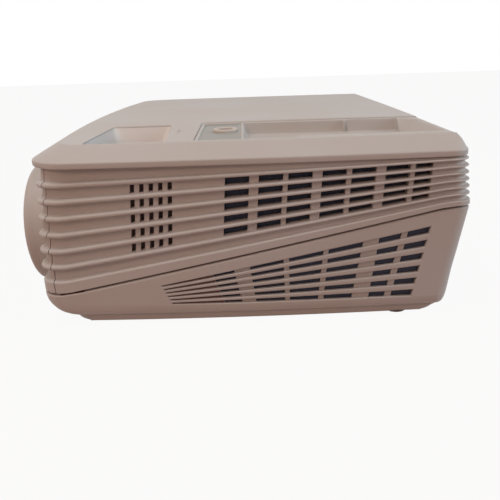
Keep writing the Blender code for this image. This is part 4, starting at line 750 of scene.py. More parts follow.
# %% Lines of the lower case
SEAM_FRONT_Z, SEAM_REAR_Z, SEAM_HALF = 18.5, 59.8, 0.8
LEDGE = (SEAM_FRONT_Z - SEAM_HALF / 2, SEAM_REAR_Z - SEAM_HALF / 2)
TONGUE_INSET, TONGUE_THICK = 4.6, 1.6
FRONT_SWEEP = [(17.7, -2.3), (15.5, -2.0), (13.5, -1.4), (11.5, -0.4), (9.8, 0.9), (8.2, 2.4),
               (7.0, 4.2), (6.0, 6.4), (5.2, 8.6), (4.8, 10.4)]
REAR_SWEEP = [(59.0, -3.1), (47.0, -0.9), (35.0, 1.3), (24.0, 3.4), (12.5, 5.0), (9.5, 5.6),
              (7.4, 6.2), (5.6, 7.0), (4.8, 7.8)]
FAN_ROWS = 6
FAN_FIRST_TOP_Y, FAN_FIRST_FOOT_Y = -25.1, -11.5
FAN_END_Y, FAN_END_FOOT_Y = 97.7, 90.0
FAN_TOP_Z, FAN_FOOT_Z = 50.1, 11.9
TOP_SHARES = (0.0, 0.125, 0.205, 0.37, 0.395, 0.555, 0.575, 0.725, 0.79, 0.885, 0.91, 1.0)
FOOT_SHARES = (0.0, 0.095, 0.17, 0.325, 0.35, 0.50, 0.53, 0.68, 0.77, 0.855, 0.89, 1.0)
GROOVE = 1.5
TIP_Y, TIP_Z = -44.7, 22.3
TIP_PITCH, END_PITCH = 2.03, 7.05


def from_table(pairs, z):
    """A value read off a falling table of (height, value) pairs."""
    if z >= pairs[0][0]:
        return pairs[0][1]
    for (high, first), (low, second) in zip(pairs, pairs[1:]):
        if z >= low:
            return first + (second - first) * (high - z) / (high - low)
    return pairs[-1][1]


def side_sweep(y, z):
    """How far the side of the lower case is set in at one place."""
    pairs = [(rise(y, *LEDGE), 1.5), (rise(y, 15.5, 35.0), 1.8), (10.5, 2.2), (8.4, 2.5), (6.9, 3.0),
             (5.9, 3.7), (5.2, 4.5), (4.8, 5.4)]
    return from_table(pairs, z)


def fan_line(number, y, foot):
    """Height of the upper or lower edge of one grille slot."""
    share = clamped(between(y, TIP_Y + number, FAN_END_Y))
    pitch = TIP_PITCH + (END_PITCH - TIP_PITCH) * share
    top = TIP_Z + (FAN_TOP_Z - TIP_Z) * share - number * pitch
    return top - (pitch * (0.41 + 0.14 * min(share / 0.14, 1)) if foot else 0)


def grille_height(number, foot, extra, front_z):
    """A row's height along the left side: level in front, up to the tip, then along the slot."""
    tip_y = TIP_Y + number

    def height(y):
        spread = 0.45 + 0.55 * clamped((y + 45) / 60)
        at_tip = fan_line(number, max(y, tip_y), foot) + extra * spread
        if y >= tip_y:
            return at_tip
        return front_z + (at_tip - front_z) * clamped(between(y, RISE_START_Y, tip_y))
    return height


def crossing(top_y, foot_y, shift=0.0):
    """A column given by its y at the top and at the foot of the grille."""
    return lambda z: foot_y + between(z, FAN_FOOT_Z, FAN_TOP_Z) * (top_y - foot_y) + shift


def tip_column(shift):
    """A column along the tips of the grille rows."""
    return lambda z: TIP_Y + (TIP_Z - z) / TIP_PITCH + shift


def opening_edge(top_share, foot_share):
    """The column where an opening of the grille starts or ends."""
    return crossing(FAN_FIRST_TOP_Y + (FAN_END_Y - FAN_FIRST_TOP_Y) * top_share,
                    FAN_FIRST_FOOT_Y + (FAN_END_FOOT_Y - FAN_FIRST_FOOT_Y) * foot_share)


print("grille:", FAN_ROWS, "rows from y", TIP_Y, "to", FAN_END_Y)

# %% [markdown]
# ## Columns and rows of the lower case
#
# The openings of the grille lie between slanting bars, so the columns slant with the bars. Each
# slot takes eight rows: the rounded edge of the slat above it, the groove with the open cells, and
# the edge of the slat below. On the right side, which has no grille, rows simply rise.

# %% Columns and rows of the lower case
LOWER_COLUMNS = [level(-86.0), level(-76.0), level(-66.0), level(-57.0), tip_column(-0.2),
                 tip_column(0.5), tip_column(4.0), lambda z: -29.0 + (z - 20) * 0.05]
FIRST_EDGE = len(LOWER_COLUMNS) + 1
LOWER_COLUMNS += [opening_edge(top, foot) for top, foot in zip(TOP_SHARES, FOOT_SHARES)]
BAR_CELLS = range(FIRST_EDGE, FIRST_EDGE + len(TOP_SHARES), 2)
GROOVE_FROM, GROOVE_TO = 6, len(LOWER_COLUMNS)
LOWER_COLUMNS += [crossing(FAN_END_Y, FAN_END_FOOT_Y, 0.08),
                  lambda z: 100.6 + (z - 60) * 0.08, lambda z: 101.8 + (z - 60) * 0.085]
LOWER_END = len(LOWER_COLUMNS) + 1
SLAT_PARTS = [(False, 0.75, 0.0), (False, 0.28, 0.04), (False, 0.0, 0.30), (False, 0.0, GROOVE),
              (True, 0.0, GROOVE), (True, 0.0, 0.22), (True, -0.22, 0.04), (True, -0.55, 0.0)]
SLOT_PART = 3
SLAT_FRONT_Z, SLAT_FRONT_STEP = 16.9, 0.092
FOOT_ROWS = [(9.2, 8.4), (8.0, 7.4), (7.2, 6.9), (6.5, 6.4), (5.9, 5.9), (5.5, 5.5), (5.2, 5.2),
             (5.0, 5.0), (4.8, 4.8)]


def lower_rows():
    """Rows from the seam to the floor: left height, front and rear level, depth, and slot flag."""
    top_rows = ((LEDGE[0], LEDGE[1], 0.8), (LEDGE[0] - 0.25, LEDGE[1] - 0.25, 0.38),
                (LEDGE[0] - 0.6, LEDGE[1] - 0.6, 0.06), (17.1, 57.6, 0.0), (17.0, 54.8, 0.0))
    rows = [(None, *row, False) for row in top_rows]
    front_z = SLAT_FRONT_Z
    for number in range(FAN_ROWS):
        for index, (foot, extra, depth) in enumerate(SLAT_PARTS):
            height = grille_height(number, foot, extra, front_z)
            rows.append((height, front_z, height(RISE_END_Y), depth, index == SLOT_PART))
            front_z -= SLAT_FRONT_STEP
    for extra, front_z in ((-1.0, 12.3), (-1.7, 11.2)):
        height = grille_height(FAN_ROWS - 1, True, extra, front_z)
        rows.append((height, front_z, height(RISE_END_Y), 0.0, False))
    return rows + [(None, front_z, rear_z, 0.0, False) for front_z, rear_z in FOOT_ROWS]


LOWER_ROWS = lower_rows()
print("lower case:", len(LOWER_ROWS), "rows,", len(LOWER_COLUMNS), "columns on a side")

# %% [markdown]
# ## Rings of the lower case
#
# A row becomes a ring with its own insets: the tub sweeps in at the front and at the rear and tucks
# under at its foot. The first and last point of a side stay where the corners begin, and the points
# between them take the side's own curve. Above these rings go two for the tongue that slips inside
# the ribbed wall, and below them the rings of the base strip, which is hollow under its rim.

# %% Rings of the lower case
def lower_ring(row, wall=0.0):
    """One ring of the lower case; wall sets the inner skin in."""
    left, front_z, rear_z, depth, _ = row
    right = rising(front_z, rear_z)
    left = left or right
    fore = side_sweep(RISE_START_Y, front_z)
    aft = side_sweep(RISE_END_Y, rear_z)
    insets = (from_table(FRONT_SWEEP, front_z), fore, aft, from_table(REAR_SWEEP, rear_z))
    edge = depth if left is right else 0.0
    points = ring_of([value + edge + wall for value in insets], left, LOWER_COLUMNS, right)
    right_start = LOWER_END + CORNER_STEPS + REAR_STEPS + CORNER_STEPS
    for start, sign in ((0, 1), (right_start, -1)):
        for i in range(LOWER_END + 1):
            point = points[start + i]
            plain = rise(point.y, fore, aft)
            ends = 0.0 if i in (0, LOWER_END) else 1.0
            point.x -= sign * ends * (side_sweep(point.y, point.z) - plain)
            if sign > 0 and GROOVE_FROM <= i <= GROOVE_TO and left is not right and not wall:
                point.x -= depth * (0.85 if i == GROOVE_FROM else 1.0)
    return points


outer_rows, inner_rows = [], []
TONGUE_ROWS = 2
for z_front, z_rear in ((SEAM_FRONT_Z + 0.5, SEAM_REAR_Z + 0.5), LEDGE):
    insets = [TONGUE_INSET + front_lean(z_front), TONGUE_INSET, TONGUE_INSET,
              TONGUE_INSET + (z_rear - LIP_Z) * REAR_LEAN]
    height = rising(z_front, z_rear)
    outer_rows.append(ring_of(insets, height, LOWER_COLUMNS))
    inner_rows.append(ring_of([value + TONGUE_THICK for value in insets], height, LOWER_COLUMNS))
LEDGE_ROWS, LEDGE_WALL = 3, 4.7
for number, row in enumerate(LOWER_ROWS):
    outer_rows.append(lower_ring(row))
    inner_rows.append(lower_ring(row, WALL if number >= LEDGE_ROWS else LEDGE_WALL))
BASE_Z, FLOOR_TOP_Z, RIM_Z = 2.5, 5.2, 0.5
STRIP_ROWS = ((4.75, 0.7, 4.95, None), (RIM_Z + 0.6, 0.95, 5.05, 14.0), (RIM_Z + 0.15, 1.1, 5.1, 14.0),
              (RIM_Z, 1.5, 5.15, 14.0), (RIM_Z, 10.9, FLOOR_TOP_Z, 14.0), (BASE_Z, 11.3, FLOOR_TOP_Z, 14.0))
for z, extra, inner_z, radius in STRIP_ROWS:
    insets = [10.4 + extra, 5.4 + extra, 5.4 + extra, 7.8 + extra]
    outer_rows.append(ring_of(insets, level(z), LOWER_COLUMNS, radius=radius))
    inner_rows.append(ring_of([value + WALL for value in insets], level(inner_z), LOWER_COLUMNS,
                              radius=radius and radius - WALL))


def grille_cell(r, c):
    """True for the cells of the lower case that are open slots."""
    row = r - TONGUE_ROWS
    return 0 <= row < len(LOWER_ROWS) and LOWER_ROWS[row][4] and c in BAR_CELLS


print("lower case:", len(outer_rows), "rings of", len(outer_rows[0]), "points")

# %% [markdown]
# ## Openings of the lower case, and its colours
# The tub's floor has a hatch for the lamp, holes for the feet and seats for the screws, and its
# rear wall a window for the sockets. These are plain shapes on flat walls, so Booleans cut them
# well. The seam and the narrow front end of each grille groove take a second, brown material on
# the faces that lie there: painted shade of the gap and the grooves, with some grime.

# %% Lower case with its openings
lower_case = two_skins("lower_case_tub", outer_rows, inner_rows, grille_cell, round_case=True,
                       floor=True)
soften(lower_case, 0.16, 1)
cut(lower_case, box_cutter("lamp_hatch", (49, 29, 0), (111, 83, 8)))
SEAT_RADIUS, SCREW_HOLE = 3.3, 1.8
# Places in the grille grooves that take the painted shade.
SHADE_PAINT_Y, SHADE_PAINT_Z, SHADE_PAINT_DEPTH = (-47, -8), (10.5, 45), (0.9, 1.9)
for x, y, radius in ((0.0, -80.0, 3.4), (-120.0, 85.0, 2.4)):
    cut(lower_case, upright_rod("foot_hole", radius, Vector((x, y)), 0, 8))
for x, y in ((115.0, -64.0), (-115.0, -64.0), (-115.0, 50.0)):
    cut(lower_case, upright_rod("screw_seat", SEAT_RADIUS, Vector((x, y)), 1, 3.9),
        upright_rod("screw_hole", SCREW_HOLE, Vector((x, y)), 3, 8))
cut(lower_case, box_cutter("socket_window", (-112, 96, 13.5), (45, 130, 50)), lens_bore())
dress(lower_case, IVORY, ["lower_case"], smooth=40)
lower_case.data.materials.append(SEAM_SHADE_AND_GRIME)


def groove_depth(point):
    """How deep a point lies behind the plain left side."""
    share = between(point.y, FRONT_LEFT_Y, REAR_LEFT_Y)
    return CORNER_X + 4 * SIDE_BOW * share * (1 - share) - side_sweep(point.y, point.z) - point.x


def in_groove_shade_paint(spot):
    """True in the grooves of the grille between their tips and the first bars, where the brown painted shade
    goes.
    """
    if spot.x < 0 or not SHADE_PAINT_Y[0] < spot.y < SHADE_PAINT_Y[1] or not SHADE_PAINT_Z[0] < spot.z < SHADE_PAINT_Z[1]:
        return False
    return SHADE_PAINT_DEPTH[0] < groove_depth(spot) < SHADE_PAINT_DEPTH[1]


# Painted shade, with some grime: the tongue in the seam gap and the front ends of the grille grooves take the
# brown second material.
for face in lower_case.data.polygons:
    spot = face.center / MM
    on_tongue = spot.z > rise(spot.y, *LEDGE) + 0.1
    if on_tongue or (in_groove_shade_paint(spot) and face.normal.x > 0.6):
        face.material_index = 1

# %% [markdown]
# ## The lid
#
# The lid is a shallow dish turned over: an upright lip, a broad chamfer band and a nearly flat
# top. The band is narrow at the rear and wide at the sides, so its rear corners close to mitres,
# while the front corners stay wide arcs. The same ring function draws it, with other insets, and
# the flat top is a row of ever smaller rings that rise to a slight crown.

# %% Rings of the lid
LIP_TOP_Z, TOP_Z, CROWN, LEVEL_FROM = 89.7, 96.3, 0.55, 0.42
BAND = (12.4, 13.5, 13.5, 4.6)
LID_ROWS = [(0.9, 86.1, 0), (0.4, 86.25, 0), (0.14, 86.6, 0), (0.08, 87.2, 0), (0.08, 88.3, 0),
            (0.14, 88.9, 0), (0.36, 89.35, 0), (0.75, 89.66, 0)]
for share, drop in ((0.06, 0.0), (0.3, 0.0), (0.6, 0.0), (0.85, 0.0), (0.95, 0.02), (1.0, 0.10),
                    (1.05, 0.03)):
    LID_ROWS.append((None, share, drop))
LID_COLUMNS = [level(y) for y in range(-60, 101, 10)]
LID_FORWARD, LID_CORNER = 1.0, 20.0
BAND_FOOT_Z = LIP_TOP_Z + 0.06
UNDER_INSET, UNDER_DROP, FLAT_THICK = 1.2, 2.3, 2.5


def lid_insets(share):
    """Insets of a ring part of the way up the chamfer band."""
    return [0.9 + (value - 0.9) * share for value in BAND]


def lid_rings(under):
    """Rings of the lid's outer skin or of the skin under it, from the lip to the crowned middle."""
    rings = []
    for inset, z, drop in LID_ROWS:
        if inset is None:
            insets = lid_insets(z)
            height = BAND_FOOT_Z + (TOP_Z - BAND_FOOT_Z) * min(z, 1) - drop
            if under:
                insets, height = [value + UNDER_INSET for value in insets], height - UNDER_DROP
        else:
            insets = [2.5 if under else inset] * 4
            height = min(z, 87.4) if under else z
        corner = LID_CORNER - 0.45 * (insets[1] - UNDER_INSET * under)
        insets[0] -= LID_FORWARD
        rings.append(ring_of(insets, level(height), LID_COLUMNS, fore=corner))
    centre, flat_edge = Vector((0.0, 4.0, 0.0)), rings[-1]
    for share in (0.97, 0.9, 0.8, 0.7, 0.6, 0.5, LEVEL_FROM, 0.3, 0.18, 0.06):
        lift = CROWN * (1 - (max(share - LEVEL_FROM, 0) / (1 - LEVEL_FROM)) ** 2)
        ring = []
        for point in flat_edge:
            shrunk = centre + (Vector((point.x, point.y, 0)) - centre) * share
            ring.append(Vector((shrunk.x, shrunk.y, TOP_Z + lift - (FLAT_THICK if under else 0.0))))
        rings.append(ring)
    return rings


print("lid:", len(LID_ROWS), "rings up to the edge of the flat top")

# %% [markdown]
# ## Openings of the lid
#
# Both openings of the top have a small rolled edge. A bevel after the cut is unsure, because the rim
# crosses many faces of the top and the chamfer band. So the cutter itself flares at its mouth, and
# the rolled edge is cut together with the hole.

# %% Lid with its two openings
def outward_angle(direction, bisector):
    """The angle of an edge's normal on the side away from its corner's bisector."""
    normal = direction.orthogonal()
    if normal.dot(bisector) > 0:
        normal = -normal
    return math.atan2(normal.y, normal.x)


def rounded_outline(corners, radius, grow=0.0, steps=6):
    """A closed outline with round corners, grown outwards by some millimetres."""
    points = []
    count = len(corners)
    for i in range(count):
        before, here, after = (Vector(corners[(i + k) % count]) for k in (-1, 0, 1))
        to_before, to_after = (before - here).normalized(), (after - here).normalized()
        bisector = (to_before + to_after).normalized()
        half = to_before.angle(to_after) / 2
        middle = here + bisector * (radius / math.sin(half))
        start, end = outward_angle(to_before, bisector), outward_angle(to_after, bisector)
        sweep = (end - start + math.pi) % math.tau - math.pi
        for k in range(steps + 1):
            angle = start + sweep * k / steps
            points.append(middle + Vector((math.cos(angle), math.sin(angle))) * (radius + grow))
    return points


def block_corners(low_x, high_x, low_y, high_y):
    """Corners of a block in plan, for rounded_outline."""
    return [(high_x, low_y), (high_x, high_y), (low_x, high_y), (low_x, low_y)]


def at_height(outline, z):
    """Lift a flat outline to a height."""
    return [Vector((point.x, point.y, z)) for point in outline]


ROLLED = ((-0.9, 0.0), (-0.5, 0.12), (-0.22, 0.32), (-0.02, 0.62), (0.10, 1.0))


def flared_cutter(name, corners, radius):
    """A cutter whose mouth widens, so the hole it leaves has a rolled edge."""
    levels = [(80, 0.0)] + [(TOP_Z + 0.45 + lift, grow) for lift, grow in ROLLED]
    levels.append((TOP_Z + 5, ROLLED[-1][1]))
    return stack(name, [at_height(rounded_outline(corners, radius, grow), z) for z, grow in levels])


WELL_CORNER = 2.5
WELL_CORNERS = [(133.5, -81.5), (133.5, -38.0), (68.2, -43.0), (68.2, -78.0)]
STRIP_CORNERS = block_corners(60.0, 133.5, -24.0, 140.0)
lid = two_skins("lid", lid_rings(False), lid_rings(True), round_case=True, floor=True)
cut(lid, flared_cutter("well_mouth", WELL_CORNERS, WELL_CORNER))
cut(lid, flared_cutter("strip_mouth", STRIP_CORNERS, 2.2))
LIGHT_SPOTS = [Vector((106.0 - 6.0 * i, -35.0)) for i in range(3)]
for spot in LIGHT_SPOTS:
    cut(lid, upright_rod("light_hole", 1.2, spot, 90, 100, 16))
dress(lid, IVORY, ["top_cover"], smooth=12)

# %% [markdown]
# ## The focus well
#
# Through this opening a finger turns the two rings of the lens. Its walls taper in, the far one
# most, and its corners grow rounder with depth. It is a loft between the outline at the top and a
# smaller one below, with the wall's thickness outside. The well looks bright from above, because
# light is thrown about inside it, so its plastic is set paler than the lid's.

# %% Focus well under the lid
FRONT_SLOPE, FAR_SLOPE = 2.5, 4.5
WELL_TOP_Z, WELL_FOOT_Z = 95.9, 81.5


def well_ring(share, grow):
    """The well's outline at a share of its depth."""
    out, far = grow - share, -grow + FAR_SLOPE * share
    front, rear = -grow + FRONT_SLOPE * share, grow - share
    shifts = ((out, front), (out, rear), (far, rear), (far, front))
    corners = [(x + dx, y + dy) for (x, y), (dx, dy) in zip(WELL_CORNERS, shifts)]
    return rounded_outline(corners, WELL_CORNER + 6.0 * share + max(grow, 0))


def well_skin(grow):
    """All rings of the well from top to bottom."""
    return [at_height(well_ring(share, grow), WELL_TOP_Z - (WELL_TOP_Z - WELL_FOOT_Z) * share)
            for share in (0.0, 0.03, 0.1, 0.3, 0.5, 0.7, 0.9, 1.0)]


well = two_skins("focus_well", well_skin(0.05), well_skin(1.75), round_case=True)
soften(well, 0.1)
# Painted light: the well's plastic is set paler than the lid's for the light thrown about inside it.
WELL_PAINTED_LIGHT = moulded("well_ivory_painted_light", (0.80, 0.79, 0.76), (0.78, 0.74, 0.69), rough=(0.30, 0.42))
dress(well, WELL_PAINTED_LIGHT, ["top_cover"])

# %% [markdown]
# ## The lens surround
#
# A soft-edged ring, flared inwards to the glass, closes the round opening of the front. It is
# turned round the lens axis, as the mould for it was: one profile, swept round.

# %% Lens surround
FRONT, RIM_RADIUS = -118.3, 34.0


def soft_rim(radius, depth, roundness, steps=8):
    """Profile points of a quarter-round rim."""
    return [(radius - roundness * (1 - math.sin(math.pi / 2 * i / steps)),
             depth + roundness * (1 - math.cos(math.pi / 2 * i / steps))) for i in range(steps + 1)]


profile = soft_rim(RIM_RADIUS, FRONT, 2.8)
profile += [(RIM_RADIUS, -113.0), (RIM_RADIUS - 0.15, -112.8), (RIM_RADIUS - 0.15, -112.3),
            (RIM_RADIUS, -112.1), (RIM_RADIUS, -106.0), (RIM_RADIUS, -98.5), (26.2, -98.5), (26.2, -107.0)]
profile += [(26.2 + 4.7 * (i / 8) ** 1.6, -107.0 - 10.4 * i / 8) for i in range(1, 9)]
profile += [(31.0, -117.9), (31.15, FRONT)]
surround = lathe("lens_surround_bell", profile, LENS_AXIS)
dress(surround, IVORY, ["lens_surround"])

# %% [markdown]
# ## The key strip's tray
#
# An ivory tray fills the long opening of the lid. In front it has a shallow grey plate round the
# power button. Behind that it drops to a valley with the keys, whose far wall is steep, whose rear
# wall sweeps up to the lid's edge and whose near side is a wide ledge. It is one moulding, so it
# is one grid: rows run along the strip, columns run across it, and a function gives the height.

# %% Tray of the key strip
TRAY_FAR, TRAY_NEAR, TRAY_FRONT, TRAY_REAR = 60.3, 133.2, -23.7, 115.4
TRAY_TOP, PLATE_Z, VALLEY_Z = 95.95, 94.9, 89.0
LEDGE_X, FAR_X, REAR_SLOPE = 124.4, 64.9, 12.0
FINE, COARSE, REACH = 0.35, 3.0, 2.0
KEY_HOLE, POWER_HOLE = 4.6, 7.5
PLATE_END_Y = 1.1


def eased(share):
    """A share that starts and ends gently."""
    share = clamped(share)
    return share * share * (3 - 2 * share)


def tray_height(x, y):
    """Height of the tray's upper surface at one place."""
    edge = min(x - TRAY_FAR, TRAY_NEAR - x, y - TRAY_FRONT)
    if edge < 2.2:
        return TRAY_TOP - (TRAY_TOP - PLATE_Z) * eased(between(edge, 1.5, 2.2))
    if y < 1.6:
        return PLATE_Z + (TRAY_TOP - PLATE_Z) * eased(between(y, 0.2, 1.2))
    far_wall = FAR_X - 0.9 * eased(between(y, 64.0, 66.0))
    depth = min(between(x, far_wall - 0.5, far_wall + 0.9), 1.0)
    depth = min(depth, between(y, 1.7, 4.6))
    near = LEDGE_X + 7.4 * (1 - eased(between(y, 28.6, 31.4)))
    depth = min(depth, between(near, x, x + 1.4))
    rear = y - 97.5
    if x < FAR_X + REAR_SLOPE and rear > 0:
        rear = math.hypot(FAR_X + REAR_SLOPE - x, rear)
    depth = min(depth, 1 - rear / REAR_SLOPE)
    return TRAY_TOP - (TRAY_TOP - VALLEY_Z) * eased(depth)


def fine_steps(low, high, around):
    """Places from low to high, closer together around the given ones."""
    places = []
    here = low
    while here < high:
        places.append(here)
        here += FINE if any(abs(here - spot) < REACH for spot in around) else COARSE
    return places + [high]


tray_x = fine_steps(TRAY_FAR, TRAY_NEAR, (61.5, FAR_X, LEDGE_X, 131.0))
tray_y = fine_steps(TRAY_FRONT, TRAY_REAR, (-22.5, 0.5, 3.5, 30.0, 65.0, 98.0, 102.0, 106.0, 109.0))
upper, lower = [], []
for y in tray_y:
    drop = max(0.0, between(y, 110.9, TRAY_REAR)) * 6.0
    heights = [tray_height(x, y) - drop for x in tray_x]
    upper.append([Vector((x, y, z)) for x, z in zip(tray_x, heights)])
    lower.append([Vector((x, y, min(z, 94.0) - 2.2)) for x, z in zip(tray_x, heights)])
tray = two_skins("key_tray", upper, lower)
KEY_NAMES = ("menu_key", "left_key", "up_key", "enter_key", "down_key", "right_key", "source_key")


def middle_of(node):
    """Middle of a CAD piece in plan, its half width, and its lowest and highest point, in mm."""
    low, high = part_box(node)
    centre = (low + high) / 2 / MM
    return centre, (high.x - low.x) / 2 / MM, low.z / MM, high.z / MM


for key in KEY_NAMES:
    cut(tray, upright_rod("key_hole", KEY_HOLE, middle_of(key)[0], 80, 99, 32))
power_centre = middle_of("power_button")[0]
cut(tray, upright_rod("power_hole", POWER_HOLE, power_centre, 80, 99, 48))
dress(tray, IVORY, ["control_panel"], smooth=40)
tray.data.materials.append(TRAY_GREY)
for face in tray.data.polygons:
    spot = face.center / MM
    if spot.y < PLATE_END_Y and spot.z < TRAY_TOP - 0.6:
        face.material_index = 1

# %% [markdown]
# ## Fin on the far wall of the valley
#
# A thin fin stands on the far wall, where the valley steps back. On the real strip it is part of
# the tray's moulding. Its faces are upright, which a height over the plan can't give, so it is a
# small stack of rounded outlines, let into the wall, whose top turns in.

# %% Fin of the valley
FIN_Y, FIN_HALF = 64.8, 0.7
fin_rings = []
for z, shrink in ((88.6, 0.0), (95.0, 0.0), (95.7, 0.15), (96.0, 0.5)):
    corners = block_corners(FAR_X - 2.6, FAR_X + 2.4 - shrink, FIN_Y - FIN_HALF, FIN_Y + FIN_HALF)
    fin_rings.append(at_height(rounded_outline(corners, 0.45, -shrink * 0.6), z))
dress(stack("valley_fin", fin_rings), IVORY, ["control_panel"], smooth=35)

# %% [markdown]
# ## Dark sheets behind the openings, as painted shade
#
# Dark sheets with a woven pattern lie behind the vents and the fan-shaped grille, and a brown one
# behind the speaker's small slots. Their dark colour is painted shade: it stands for the shaded
# inside of the case seen through the openings, and nothing pale shows through. They could be one
# plane, but the wall is bowed, so each sheet takes the wall's own columns, a little further in.

# %% Sheets behind the openings
SHEET_GAP, SHEET_THICK = 0.25, 0.4
SHEET_LEVELS = ((83.5, 85.4), (64.0, 79.0), (44.0, 70.8), (25.0, 63.0))


def woven(name, dark, light, pitch=0.0011):
    """Woven threads: two sets of bands, one along the sheet and one up it."""
    made, tree = new_material(name)
    place = place_in(tree)
    bands = [add_node(tree, "TexWave", Vector=place, bands_direction=direction, Scale=math.tau / 20 / pitch)
             for direction in ("Y", "Z")]
    both = add_node(tree, "Math", *[band.outputs["Fac"] for band in bands], operation="MAXIMUM").outputs[0]
    surface(tree, (both, 0.5, 0.2), Base_Color=ramp(tree, both, (0.55, dark), (0.95, light)), Roughness=0.7)
    return made


# Painted shade: near-black colours for the shaded inside seen through the vents and the speaker slots.
VENT_SHADE_SHEET = woven("vent_shade_sheet", (0.014, 0.017, 0.030), (0.040, 0.048, 0.078))
SPEAKER_SHADE_SHEET = woven("speaker_shade_sheet", (0.030, 0.014, 0.012), (0.060, 0.030, 0.026), 0.0007)


def wall_sheet(name, first, last, material, node):
    """A thin sheet behind the ribbed wall between two points of its rings."""
    skins = []
    for inset in (INNER_INSET + SHEET_GAP, INNER_INSET + SHEET_GAP + SHEET_THICK):
        skins.append([wall_ring(*levels, inset, inset, inset)[first:last + 1] for levels in SHEET_LEVELS])
    dress(two_skins(name, *skins), material, [node])


def left_point(y):
    """Ring index of a named column on the left side."""
    return SIDE_COLUMNS.index(y) + 1


def right_point(y):
    """Ring index of a named column on the right side."""
    return RIGHT_START + SIDE_END - 1 - SIDE_COLUMNS.index(y)


wall_sheet("vent_shade_sheet_left", left_point(-13.0), left_point(100.0), VENT_SHADE_SHEET, "left_side_panel")
wall_sheet("speaker_shade_sheet_left", left_point(-62.0), left_point(-30.0), SPEAKER_SHADE_SHEET, "left_side_panel")
wall_sheet("vent_shade_sheet_right", right_point(100.0), right_point(-13.0), VENT_SHADE_SHEET, "right_side_panel")
# The same painted shade behind the fan-shaped grille of the lower case.
grille_skins = []
for wall in (WALL + SHEET_GAP, WALL + SHEET_GAP + SHEET_THICK):
    rows = [LOWER_ROWS[i] for i in (4, 12, 20, 28, 36, 44, 52, 54)]
    grille_skins.append([lower_ring(row, wall)[FIRST_EDGE - 1:LOWER_END] for row in rows])
dress(two_skins("grille_shade_sheet", *grille_skins), VENT_SHADE_SHEET, ["lower_case"])

# %% [markdown]
# ## Button, keys and lights
#
# The power button is a shallow round cap with a raised rim and a darker middle, inside a fixed
# collar. The keys are smaller dished caps. All are turned bodies, so each is one profile swept
# round its own axis. Each has the flange that keeps it from falling out of the tray.

# %% Power button, keys and status lights
BUTTON_CREAM = moulded("button_cream", (0.64, 0.60, 0.54), (0.58, 0.52, 0.45), size=1400.0)
BUTTON_BROWN = moulded("button_middle", (0.25, 0.16, 0.12), (0.20, 0.12, 0.09), size=1400.0)
KEY_WHITE = moulded("key_plastic_pale", (0.56, 0.54, 0.49), (0.52, 0.48, 0.42), size=1400.0)
PIPE_CLEAR = moulded("light_pipe_frosted", (0.62, 0.66, 0.60), (0.50, 0.56, 0.50), rough=(0.15, 0.3))
MIDDLE_RADIUS, MIDDLE_LOW_Z = 4.85, 95.0
KEY_FLANGE_TOP, POWER_FLANGE_TOP = 86.5, 92.3


def turned_cap(name, node, top_profile, flange_top, material):
    """A pressed cap: stem and flange below, and a drawn top of (radius, drop) pairs."""
    centre, _, low, high = middle_of(node)
    radius = top_profile[0][0]
    profile = [(0.4, low), (radius * 0.42, low), (radius * 0.42, flange_top - 1.0),
               (radius + 1.0, flange_top - 1.0), (radius + 1.0, flange_top - 0.2),
               (radius + 0.8, flange_top), (radius, flange_top)]
    profile += [(r, high - drop) for r, drop in top_profile]
    return dress(upright(name, profile, centre, 40), material, [node], body=node, smooth=35)


KEY_TOP = [(4.2, 1.0), (4.16, 0.55), (4.0, 0.25), (3.72, 0.06), (3.4, 0.0), (2.9, 0.08), (2.2, 0.26),
           (1.2, 0.40), (0.4, 0.44)]
POWER_TOP = [(7.1, 1.3), (7.08, 0.8), (6.9, 0.35), (6.55, 0.08), (6.1, 0.0), (5.6, 0.05), (5.3, 0.3),
             (5.1, 0.8), (4.8, 0.95), (4.5, 0.8), (4.2, 0.55), (3.0, 0.45), (1.5, 0.40), (0.4, 0.40)]
for key in KEY_NAMES:
    turned_cap(key + "_cap", key, KEY_TOP, KEY_FLANGE_TOP, KEY_WHITE)
power = turned_cap("power_button_cap", "power_button", POWER_TOP, POWER_FLANGE_TOP, BUTTON_CREAM)
power.data.materials.append(BUTTON_BROWN)
for face in power.data.polygons:
    spot = face.center / MM
    if (spot - power_centre).xy.length < MIDDLE_RADIUS and spot.z > MIDDLE_LOW_Z:
        face.material_index = 1
collar_profile = [(7.4, 94.4), (8.3, 94.4), (8.3, 94.9), (8.15, 95.1), (7.85, 95.2), (7.6, 95.1),
                  (7.4, 94.9)]
collar = lathe("power_collar", collar_profile, (power_centre.x, power_centre.y, 0), "Z", 56)
dress(collar, TRAY_GREY, ["control_panel"], smooth=35)
light_profile = [(0.4, 91.0), (1.5, 91.0), (1.5, 93.6), (1.05, 94.0), (1.05, 96.1), (0.9, 96.4),
                 (0.6, 96.6), (0.3, 96.65)]
for number, spot in enumerate(LIGHT_SPOTS):
    light = upright(f"status_light_{number + 1}", light_profile, spot, 20)
    dress(light, PIPE_CLEAR, ["status_lights"], smooth=35)

# %% [markdown]
# ## The lens
#
# Behind the surround sit a black barrel with its front glass, the fixed tube, and the two knurled
# rings that the finger turns through the well. The glass is a real solid with two curved faces,
# so it bends what lies behind it. The knurls are geometry, because they are felt and they catch
# the light. A thin coating gives the glass its purple and green cast at slanting views.

